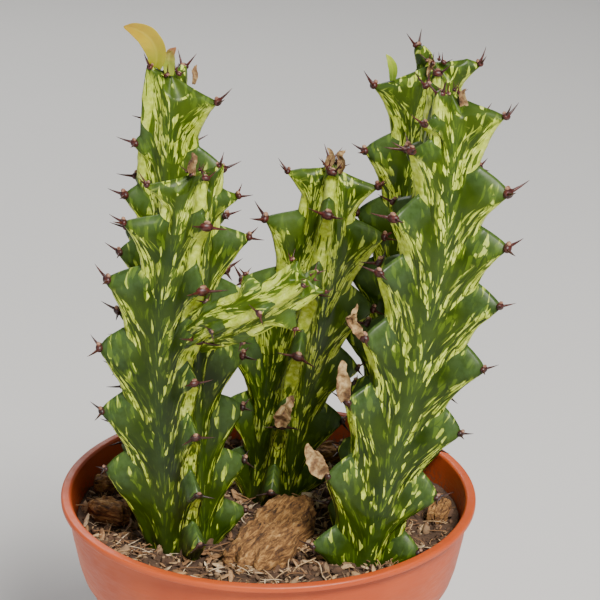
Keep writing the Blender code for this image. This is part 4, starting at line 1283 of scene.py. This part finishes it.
def bark_finish():
    """Orange-brown bark in thin layers, darker in the pits and between the ridges."""
    mat, tree, shader = new_material("pine_bark", (0.40, 0.17, 0.06), 0.85)
    course = attribute(tree, "grain_course").outputs["Vector"]
    layers = fine_noise(tree, course, 0.8, 6.0, 0.70, 0.6)
    pits = fine_noise(tree, object_coords(tree), 700.0, 4.0, 0.6)
    colour = colour_ramp(tree, layers, [(0.34, (0.030, 0.014, 0.006)), (0.46, (0.17, 0.075, 0.022)),
                                        (0.57, (0.38, 0.19, 0.055)), (0.72, (0.60, 0.38, 0.16))])
    colour = blend_colours(tree, spread(tree, pits, 0.42, 0.30, 0.0, 0.75), colour, (0.06, 0.025, 0.015))
    link(tree, colour, shader.inputs["Base Color"])
    rough = add_bump(tree, shader, layers, 0.8, 0.9)
    add_bump(tree, shader, pits, 0.5, 0.4, rough)
    return mat


# ---------------------------------------------------------------- assembly

def stands_for(obj, slot_name, *nodes):
    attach(obj, "root")
    if nodes:
        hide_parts(*nodes)


def assemble():
    stands_for(add_pot(), "pot_plastic", "pot")

    earth = earth_finish("peat", (0.030, 0.016, 0.009), (0.090, 0.048, 0.026), (0.17, 0.10, 0.058), 0.0)
    crumbs = earth_finish("peat_crumbs", (0.035, 0.019, 0.010), (0.11, 0.058, 0.031), (0.21, 0.125, 0.07), 0.6)
    scraps = flake_finish()
    stands_for(add_mix(earth), "potting_mix", "potting_mix")
    litter = [
        strew("mix_crumbs_fine", "crumbs", crumbs, 11, 24.0, (0.55, 0.42, 0.34), 0.5, 1.5, roughness=2.4),
        strew("mix_crumbs_coarse", "crumbs", crumbs, 23, 6.0, (1.2, 0.7, 0.5), 0.7, 2.0, roughness=2.8),
        strew("mix_flakes", "flakes", scraps, 37, 12.0, (1.5, 0.5, 0.16), 0.4, 1.9, tilt=0.7, lift=0.7),
        strew("mix_fibres", "fibres", scraps, 41, 13.0, (4.6, 0.10, 0.0), 0.4, 1.9, tilt=0.35, lift=0.8),
    ]
    for obj in litter:
        stands_for(obj, "potting_mix")

    bark = bark_finish()
    for spec in BARK:
        piece = bark_piece(spec[0] + "_skin", *spec[1:], bark)
        stands_for(piece, "bark", spec[0])

    skin, horn, scar = stem_skin(), horn_finish(), scar_finish()
    for number, (name, spec) in enumerate(STEMS.items()):
        stands_for(grow_stem(name + "_skin", spec, number, skin), "stem", name)
        stands_for(add_spines("spines_" + name, spec, 25.0, 1.0, horn, scar), "stem")
    stands_for(grow_stem("side_branch_skin", BRANCH, 5, skin), "stem", "side_branch")
    stands_for(add_spines("spines_side_branch", BRANCH, 15.0, 0.6, horn, scar), "stem")

    finishes = {
        "leaf_yellow": live_leaf("leaf_turning", (0.30, 0.32, 0.006), (0.46, 0.35, 0.006), (0.42, 0.26, 0.008)),
        "leaf_young": live_leaf("leaf_fresh", (0.28, 0.36, 0.02), (0.30, 0.36, 0.03), (0.26, 0.10, 0.04)),
        "leaf_small_green": live_leaf("leaf_green", (0.10, 0.18, 0.01), (0.22, 0.32, 0.015), (0.30, 0.38, 0.02)),
    }
    dry = dry_leaf()
    for leaf in LIVE_LEAVES:
        stands_for(leaf_blade(leaf[0] + "_blade", *leaf[1:], finishes[leaf[0]]), "leaf", leaf[0])
    for leaf in DRY_LEAVES:
        stands_for(leaf_blade(leaf[0] + "_blade", *leaf[1:], dry), "dried_leaf", leaf[0])
    for scrap in CROWN_SCRAPS:
        stands_for(leaf_blade(*scrap, dry), "dried_leaf")


# ---------------------------------------------------------------- floor, light and camera

def add_floor():
    mesh = bpy.data.meshes.new("floor")
    mesh.from_pydata([(-3, -3, 0), (3, -3, 0), (3, 3, 0), (-3, 3, 0)], [], [(0, 1, 2, 3)])
    mat, tree, shader = new_material("pale_floor", (0.72, 0.71, 0.69), 0.9)
    tone = fine_noise(tree, object_coords(tree), 3.0, 2.0)
    link(tree, blend_colours(tree, tone, (0.70, 0.69, 0.67), (0.74, 0.73, 0.71)), shader.inputs["Base Color"])
    put_in_scene("floor", mesh, mat)


def add_light(name, place, aim, size, watts, colour=(1.0, 1.0, 1.0)):
    data = bpy.data.lights.new(name, "AREA")
    data.shape = "DISK"
    data.size = size
    data.energy = watts
    data.color = colour
    obj = bpy.data.objects.new(name, data)
    bpy.context.scene.collection.objects.link(obj)
    obj.location = place
    obj.rotation_euler = (Vector(place) - Vector(aim)).to_track_quat("Z", "Y").to_euler()


def add_stage():
    add_floor()
    middle = (0.0, 0.0, 0.11)
    add_light("key_light", (0.36, -0.66, 0.95), middle, 0.38, 23.0, (1.0, 0.97, 0.93))
    add_light("fill_light", (-0.95, -0.55, 0.45), middle, 0.9, 3.0, (0.95, 0.97, 1.0))
    add_light("back_light", (-0.3, 0.85, 0.8), middle, 0.7, 5.0)
    world = bpy.data.worlds.new("studio")
    world.use_nodes = True
    world.node_tree.nodes["Background"].inputs["Color"].default_value = (0.85, 0.86, 0.88, 1.0)
    world.node_tree.nodes["Background"].inputs["Strength"].default_value = 0.22
    bpy.context.scene.world = world

    data = bpy.data.cameras.new("camera")
    data.lens = 120.0
    data.sensor_width = 36.0
    camera = bpy.data.objects.new("camera", data)
    bpy.context.scene.collection.objects.link(camera)
    turn = Matrix.Rotation(math.radians(90.0 - 20.528), 4, "X") @ Matrix.Rotation(math.radians(0.988), 4, "Z")
    camera.matrix_world = Matrix.Translation((0.00711, -0.45911, 0.30291)) @ turn
    bpy.context.scene.camera = camera


assemble()
add_stage()
